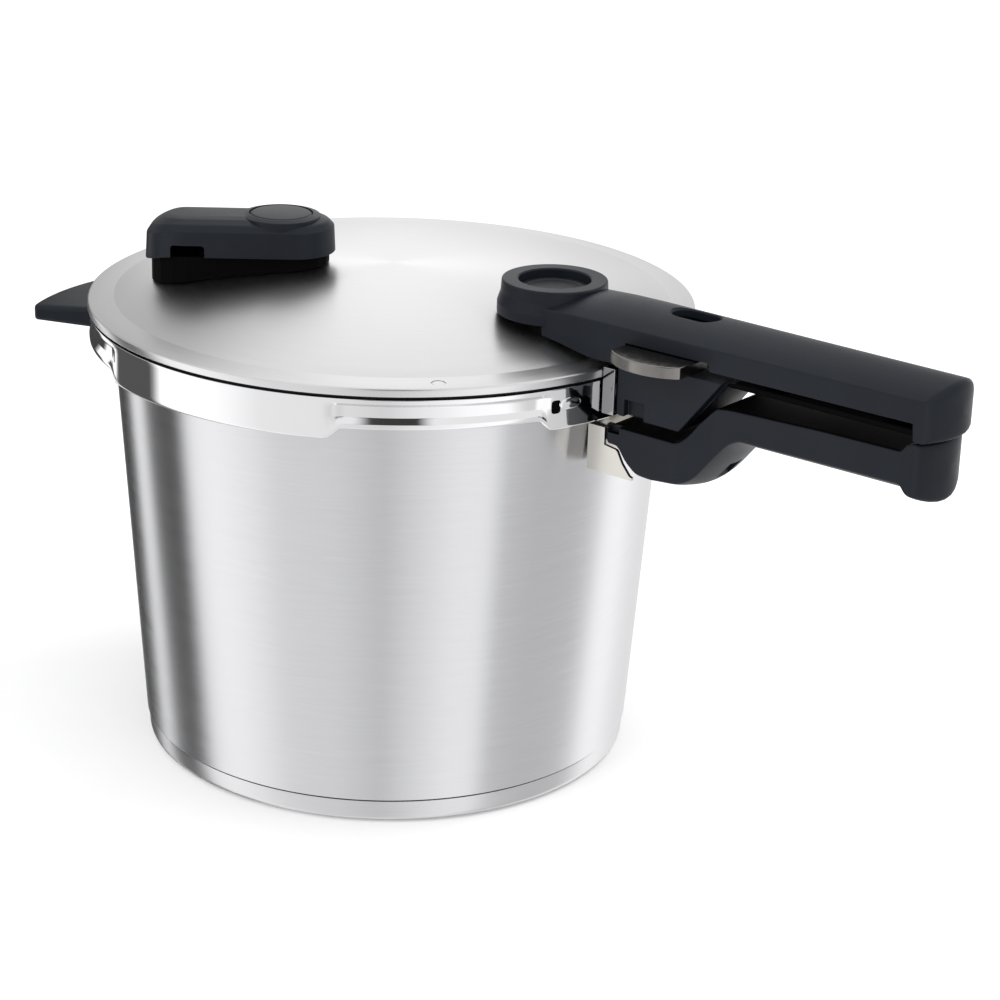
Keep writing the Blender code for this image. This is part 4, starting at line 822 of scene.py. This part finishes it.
def build_lid_handle():
    rings = []
    start = HEAD_X + 9.0 * MM
    for x in stations(start, HANDLE_END, 1.6 * MM, 125.8 * MM, 126.3 * MM, 253.0 * MM, 254.2 * MM,
                      *np.linspace(HANDLE_END - 2.8 * MM, HANDLE_END, 11)):
        low, crease, top = (float(np.interp(x, HANDLE_LINE[:, 0], HANDLE_LINE[:, c])) for c in (1, 2, 3))
        inset = end_inset(x, HANDLE_END, 2.4 * MM)
        half = handle_half(x)
        ring = crown_section(x, half - inset, low + inset * 0.8, crease - inset * 0.6, top - inset)
        rings.append(bowed(ring, x, HANDLE_END, half))
    mesh = lofted("lid_grip", rings + closing_rings(rings[-1], HANDLE_END, half))
    hollow = []
    for x in stations(HEAD_X + 24.0 * MM, 252.0 * MM, 8.0 * MM):
        hollow.append(crown_section(x, handle_half(x) - HANDLE_WALL, 182.0 * MM, HANDLE_CREASE - 0.6 * MM,
                                    NECK_TOP - HANDLE_WALL))
    mesh = combined(mesh, lofted("hollow", hollow))
    clear = round_tool("clear", (DISH_RADIUS + HEAD_RADIUS) / 2.0, steps=96)
    mesh = combined(mesh, moved(clear, (HEAD_X, 0.0, 0.0), 1.3))

    def drum(angle):
        corners = [
            (BORE_RADIUS, WEB_TOP, 0.0),
            (DISH_RADIUS, WEB_TOP, 0.3 * MM),
            (DISH_RADIUS, HEAD_TOP - 0.5 * MM, 0.0),
            (DISH_RADIUS + 0.5 * MM, HEAD_TOP, 0.25 * MM),
            (HEAD_RADIUS, HEAD_TOP, 0.9 * MM),
            (HEAD_RADIUS + 0.3 * MM, HEAD_TOP - 5.0 * MM, 4.0 * MM),
            (HEAD_FOOT_RADIUS, HEAD_TOP - 9.0 * MM, 3.0 * MM),
            (HEAD_FOOT_RADIUS, HEAD_FOOT, 0.4 * MM),
            (HEAD_FOOT_RADIUS - HEAD_WALL, HEAD_FOOT, 0.0),
            (HEAD_FOOT_RADIUS - HEAD_WALL, WEB_TOP - 2.4 * MM, 0.0),
            (BORE_RADIUS, WEB_TOP - 2.4 * MM, 0.0),
        ]
        return filleted(corners)

    mesh = combined(mesh, moved(spun("drum", drum, steps=120), (HEAD_X, 0.0, 0.0), 0.7), "UNION")
    radius = WINDOW_WIDTH / 2.0
    reach = WINDOW_LENGTH / 2.0 - radius
    rings = []
    for above, grow in ((-8.0 * MM, 0.0), (-1.2 * MM, 0.0), (0.8 * MM, 1.6 * MM)):
        ring = []
        for k in range(48):
            turn = math.tau * k / 48
            shift = reach if math.cos(turn) > 0.0 else -reach
            ring.append((WINDOW_X + shift + (radius + grow) * math.cos(turn), (radius + grow) * math.sin(turn),
                         HANDLE_TOP + above))
        rings.append(ring)
    mesh = combined(mesh, lofted("window", rings))
    low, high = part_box("lock_button")
    slot = rectangle(low.x - 0.3 * MM, -40.0 * MM, high.x + 5.6 * MM, -8.0 * MM)
    mesh = combined(mesh, slab("button_slot", slot, 187.0 * MM, high.z + 0.4 * MM))
    crisp_normals(piece("lid_grip", mesh, PLASTIC, "lid", "black_plastic", "lid_handle_top"))


def build_handle_cover():
    """Under cover with the block outside the rim; the strip farther out lies in deep shade and is painted
    near-black as that shade.
    """
    notch = rectangle(130.0 * MM, 168.0 * MM, 139.0 * MM, 176.4 * MM)
    notch = slab("notch", notch, -22.0 * MM, -14.6 * MM, upright=True)
    cover = bevelled(combined(refined("lid_handle_base", 0.0), notch), 0.45 * MM, segments=2)
    crisp_normals(piece("lid_grip_block", cover, (PLASTIC, PAINTED_SHADE_PLASTIC), "lid", "black_plastic",
                        "lid_handle_base"))
    # Painted shade: faces beyond x = 176 mm get the near-black plastic.
    for face in cover.polygons:
        face.material_index = 1 if face.center.x > 176.0 * MM else 0
    # The rim bracket wears the darkened steel that paints its shade and dark reflections.
    bracket = refined("lid_handle_bracket", 0.25 * MM)
    piece("lid_rim_bracket", bracket, RIM_BRACKET_SHADED_STEEL, "lid", "polished_steel", "lid_handle_bracket")


def build_indicator():
    low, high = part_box("indicator_cap")
    radius = (high.x - low.x) / 2.0

    def section(angle):
        corners = [
            (0.0, high.z - 0.3 * MM, 0.0),
            (radius - 3.0 * MM, high.z - 0.3 * MM, 0.2 * MM),
            (radius - 2.4 * MM, high.z, 0.2 * MM),
            (radius, high.z, 0.5 * MM),
            (radius, low.z, 0.2 * MM),
            (0.0, low.z, 0.0),
        ]
        return filleted(corners, closed=False)

    mesh = moved(spun("pressure_cap", section, steps=96), (HEAD_X, 0.0, 0.0))
    piece("pressure_cap", mesh, CAP_PLASTIC, "pressure_indicator", "black_plastic", "indicator_cap")


def build_lock_button():
    low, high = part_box("lock_button")
    chord = (high.x - low.x) / 2.0
    bow = 5.6 * MM
    radius = (chord * chord + bow * bow) / (2.0 * bow)
    centre_x = low.x + chord
    centre_y = low.y + radius
    reach = math.asin(chord / radius)
    outline = []
    for k in range(33):
        turn = -math.pi / 2.0 - reach + 2.0 * reach * k / 32
        outline.append((centre_x + radius * math.cos(turn), centre_y + radius * math.sin(turn)))
    outline += [(high.x, high.y), (low.x, high.y)]
    mesh = slab("slide_button", outline, low.z, high.z, bevel=0.5 * MM)
    crisp_normals(piece("slide_button", mesh, GUNMETAL, "lock_slide", "gunmetal", "lock_button"))


# Steam release ------------------------------------------------------------------------------------
def housing_level(x, level):
    """Height of a level of the housing at x along it: it dips towards the nose."""
    start = STEAM_FRONT + 2.0 * MM
    share = min(max((x - start) / (STEAM_FRONT + STEAM_HALF - start), 0.0), 1.0)
    return level - (STEAM_CREASE - STEAM_NOSE) * share * share


def housing_ring(inset, level, count=33):
    radius = STEAM_HALF - inset
    ring = []
    for centre, first in ((STEAM_FRONT, -90.0), (STEAM_BACK, 90.0)):
        for k in range(count):
            turn = math.radians(first + 180.0 * k / (count - 1))
            x = centre + radius * math.cos(turn)
            ring.append((x, radius * math.sin(turn), housing_level(x, level)))
    return ring


def placed(mesh):
    return moved(mesh, (STEAM_X, STEAM_Y, 0.0), STEAM_HEADING)


def build_steam_release():
    crown = STEAM_TOP - 0.5 * MM
    profile = filleted([
        (STEAM_WALL, STEAM_SEAM, 0.0),
        (0.0, STEAM_SEAM, 0.3 * MM),
        (0.5 * MM, STEAM_CREASE, 0.9 * MM),
        (2.8 * MM, STEAM_CREASE + 2.4 * MM, 3.0 * MM),
        (7.0 * MM, crown - 0.5 * MM, 5.0 * MM),
        (11.0 * MM, crown, 0.0),
    ], closed=False)
    rings = [housing_ring(inset, level) for inset, level in profile[1:]]
    mesh = placed(lofted("steam_cover", rings))
    inner = [housing_ring(STEAM_WALL, STEAM_SEAM - 6.0 * MM),
             housing_ring(STEAM_WALL + 0.5 * MM, STEAM_CREASE - 0.6 * MM),
             housing_ring(6.0 * MM, crown - STEAM_WALL - 1.0 * MM)]
    mesh = combined(mesh, placed(lofted("hollow", inner)))

    def collar(angle):
        corners = [
            (PRESS_RADIUS - 1.0 * MM, STEAM_CREASE, 0.0),
            (PRESS_RADIUS - 1.0 * MM, STEAM_TOP, 0.0),
            (PRESS_RADIUS + 0.8 * MM, STEAM_TOP, 0.3 * MM),
            (PRESS_RADIUS + 3.4 * MM, crown - 0.2 * MM, 0.4 * MM),
            (PRESS_RADIUS + 3.4 * MM, STEAM_CREASE, 0.0),
        ]
        return filleted(corners)

    mesh = combined(mesh, placed(spun("collar", collar, steps=120)), "UNION")
    bore = round_tool("bore", PRESS_RADIUS + 0.4 * MM, low=210.0 * MM, steps=120)
    mesh = combined(mesh, placed(bore))
    vent = filleted([(29.5 * MM, 198.0 * MM, 0.0), (43.0 * MM, 198.0 * MM, 0.0),
                     (43.0 * MM, 209.2 * MM, 1.6 * MM), (29.5 * MM, 209.2 * MM, 1.6 * MM)])
    vent = slab("vent", vent, STEAM_HALF - 5.0 * MM, STEAM_HALF + 6.0 * MM, upright=True)
    mesh = combined(mesh, placed(vent))
    crisp_normals(piece("steam_cover", mesh, PLASTIC, "lid", "black_plastic", "steam_housing"))


def build_steam_button():
    low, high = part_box("release_button")

    def press(angle):
        corners = [
            (0.0, high.z, 0.0),
            (0.7 * PRESS_RADIUS, high.z - 0.15 * MM, 0.0),
            (PRESS_RADIUS - 1.0 * MM, high.z - 0.4 * MM, 0.4 * MM),
            (PRESS_RADIUS, high.z - 0.9 * MM, 0.4 * MM),
            (PRESS_RADIUS, low.z, 0.3 * MM),
            (0.0, low.z, 0.0),
        ]
        return filleted(corners, closed=False)

    button = moved(spun("press_button", press, steps=120), (STEAM_X, STEAM_Y, 0.0))
    piece("press_button", button, CAP_PLASTIC, "steam_button", "black_plastic", "release_button")


# Carried-over CAD nodes ---------------------------------------------------------------------------
def dress(material, *names):
    for name in names:
        slots = NODES[name].data.materials
        slots.clear()
        slots.append(material)


def dress_kept_nodes():
    # Painted shade: the steam housing's base, in shadow under the cover, gets the near-black plastic.
    dress(PAINTED_SHADE_PLASTIC, "steam_housing_base")
    dress(CORE, "base_core")
    dress(RUBBER, "lid_gasket", "control_valve_seal", "steam_valve_seal", "float_valve_seal",
          "release_poppet")
    dress(FITTING, "control_valve_body", "indicator_stem", "steam_valve_seat", "float_valve_bush",
          "release_stem", "float_pin", "lock_bolt")
    dress(FASTENER, "pot_handle_screw", "side_handle_screw_left", "side_handle_screw_right",
          "lid_handle_front_screw", "lid_handle_rear_screw", "control_valve_nut", "steam_housing_nut",
          "indicator_spring", "lock_spring", "release_spring", "float_clip")
    dress(GREEN, "lock_indicator")


# Studio -------------------------------------------------------------------------------------------
CAMERA_HEADING = -49.0       # degrees about Z, from the object towards the camera
CAMERA_LENS = 98.81
CAMERA_DISTANCE = 1.138148
CAMERA_ELEVATION = 0.357986  # this and the next three in radians
CAMERA_PAN = 0.042879
CAMERA_TILT = 0.000741
CAMERA_ROLL = 0.030682
AIM_HEIGHT = 0.1
TENT_RADIUS = 0.33
TENT_STEPS = 180


def place_camera():
    camera = bpy.data.cameras.new("camera")
    camera.lens = CAMERA_LENS
    camera.sensor_width = 36.0
    camera.clip_end = 20.0
    item = bpy.data.objects.new("camera", camera)
    bpy.context.scene.collection.objects.link(item)
    turn = Matrix.Rotation(math.radians(CAMERA_HEADING + 90.0), 3, "Z")
    fall = CAMERA_ELEVATION + CAMERA_TILT
    forward = Vector((math.sin(CAMERA_PAN) * math.cos(fall), math.cos(CAMERA_PAN) * math.cos(fall),
                      -math.sin(fall)))
    right = forward.cross(Vector((0.0, 0.0, 1.0))).normalized()
    up = right.cross(forward)
    rolled_right = right * math.cos(CAMERA_ROLL) + up * math.sin(CAMERA_ROLL)
    rolled_up = up * math.cos(CAMERA_ROLL) - right * math.sin(CAMERA_ROLL)
    place = Vector((0.0, -CAMERA_DISTANCE * math.cos(CAMERA_ELEVATION),
                    AIM_HEIGHT + CAMERA_DISTANCE * math.sin(CAMERA_ELEVATION)))
    columns = [turn @ rolled_right, turn @ rolled_up, turn @ -forward]
    basis = Matrix(columns).transposed().to_4x4()
    item.matrix_world = Matrix.Translation(turn @ place) @ basis
    bpy.context.scene.camera = item


def emission(name, strength):
    material = bpy.data.materials.new(name)
    material.use_nodes = True
    nodes = material.node_tree.nodes
    nodes.clear()
    light = nodes.new("ShaderNodeEmission")
    light.inputs["Strength"].default_value = strength
    output = nodes.new("ShaderNodeOutputMaterial")
    material.node_tree.links.new(light.outputs[0], output.inputs[0])
    return material, light


# Brightness of the light tent round the object: (degrees to the right of the camera, brightness).
# The lower part makes the wall's upright bands, the upper part is seen in the lid.
TENT = (
    (-180.0, 0.80), (-156.0, 0.70), (-148.0, 0.50), (-144.0, 0.07), (-122.0, 0.06), (-119.0, 1.25),
    (-109.0, 1.25), (-106.0, 0.10), (-84.0, 0.10), (-79.0, 1.40), (-66.0, 1.38), (-52.0, 1.20),
    (-40.0, 0.98), (-20.0, 0.94), (-2.0, 0.78), (8.0, 0.96), (24.0, 1.20), (36.0, 1.26), (42.0, 0.80),
    (56.0, 0.71), (78.0, 0.70), (86.0, 0.85), (93.0, 1.35), (104.0, 1.42), (116.0, 1.15), (130.0, 1.00),
    (150.0, 0.90), (160.0, 0.75), (180.0, 0.80),
)
UPPER_TENT = (
    (-180.0, 1.40), (-168.0, 1.25), (-152.0, 0.60), (-120.0, 0.50), (-90.0, 0.70), (-12.0, 1.00),
    (-7.0, 0.05), (9.0, 0.05), (14.0, 1.00), (90.0, 0.90), (130.0, 0.70), (150.0, 0.75), (168.0, 1.25),
    (180.0, 1.40),
)


def build_tent():
    """Upright cylinder of light round the object that only reflections see."""
    work = bmesh.new()
    rows = []
    levels = ((-0.6, TENT), (0.215, TENT), (0.25, UPPER_TENT), (0.55, UPPER_TENT))
    for i in range(TENT_STEPS):
        turn = math.tau * i / TENT_STEPS
        x, y = TENT_RADIUS * math.cos(turn), TENT_RADIUS * math.sin(turn)
        rows.append([work.verts.new((x, y, z)) for z, _ in levels])
    for i, row in enumerate(rows):
        after = rows[(i + 1) % TENT_STEPS]
        for j in range(len(levels) - 1):
            work.faces.new((row[j], after[j], after[j + 1], row[j + 1]))
    mesh = bpy.data.meshes.new("tent")
    work.to_mesh(mesh)
    work.free()
    values = mesh.attributes.new("tent_light", "FLOAT", "POINT")
    for i, vertex in enumerate(mesh.vertices):
        turn = math.degrees(math.atan2(vertex.co.y, vertex.co.x)) - CAMERA_HEADING
        turn = (turn + 180.0) % 360.0 - 180.0
        table = levels[i % len(levels)][1]
        values.data[i].value = float(np.interp(turn, [a for a, _ in table], [v for _, v in table]))
    material, light = emission("tent_light", 1.0)
    read = material.node_tree.nodes.new("ShaderNodeAttribute")
    read.attribute_name = "tent_light"
    material.node_tree.links.new(read.outputs["Fac"], light.inputs["Strength"])
    mesh.materials.append(material)
    tent = bpy.data.objects.new("tent", mesh)
    bpy.context.scene.collection.objects.link(tent)
    tent.visible_camera = False
    tent.visible_diffuse = False
    tent.visible_shadow = False
    tent.visible_transmission = False


def soft_light(name, place, size, power):
    light = bpy.data.lights.new(name, "AREA")
    light.shape = "RECTANGLE"
    light.size, light.size_y = size
    light.energy = power
    item = bpy.data.objects.new(name, light)
    item.location = place
    item.rotation_euler = (Vector((0.0, 0.0, 0.12)) - Vector(place)).to_track_quat("-Z", "Y").to_euler()
    item.visible_glossy = False
    bpy.context.scene.collection.objects.link(item)


def build_studio():
    world = bpy.data.worlds.new("studio")
    world.use_nodes = True
    background = world.node_tree.nodes["Background"]
    background.inputs["Color"].default_value = (1.0, 1.0, 1.0, 1.0)
    background.inputs["Strength"].default_value = 1.05
    bpy.context.scene.world = world
    floor_mesh = lofted("floor", [[(-6.0, -6.0, z), (6.0, -6.0, z), (6.0, 6.0, z), (-6.0, 6.0, z)]
                                  for z in (-0.02, -0.0001)])
    look = Look("floor_paper", (0.96, 0.96, 0.96), 0.0, 0.7)
    fibre = look.noise(look.stretched((90.0, 90.0, 90.0)), detail=3.0)
    look.tint(fibre, (0.955, 0.955, 0.955), (0.97, 0.97, 0.97))
    floor_mesh.materials.append(look.material)
    floor = bpy.data.objects.new("floor", floor_mesh)
    floor.visible_glossy = False
    bpy.context.scene.collection.objects.link(floor)
    soft_light("key_back_right", (0.9, 0.9, 1.5), (1.2, 1.2), 14.0)
    soft_light("fill_front", (-0.4, -1.6, 1.3), (1.6, 1.0), 14.0)
    build_tent()
    bpy.context.scene.view_settings.view_transform = "Standard"


place_camera()
build_pot()
build_pot_handle()
build_pot_bracket()
build_side_handle()
build_lid()
build_tab()
build_lid_handle()
build_handle_cover()
build_indicator()
build_lock_button()
build_steam_release()
build_steam_button()
dress_kept_nodes()
build_studio()
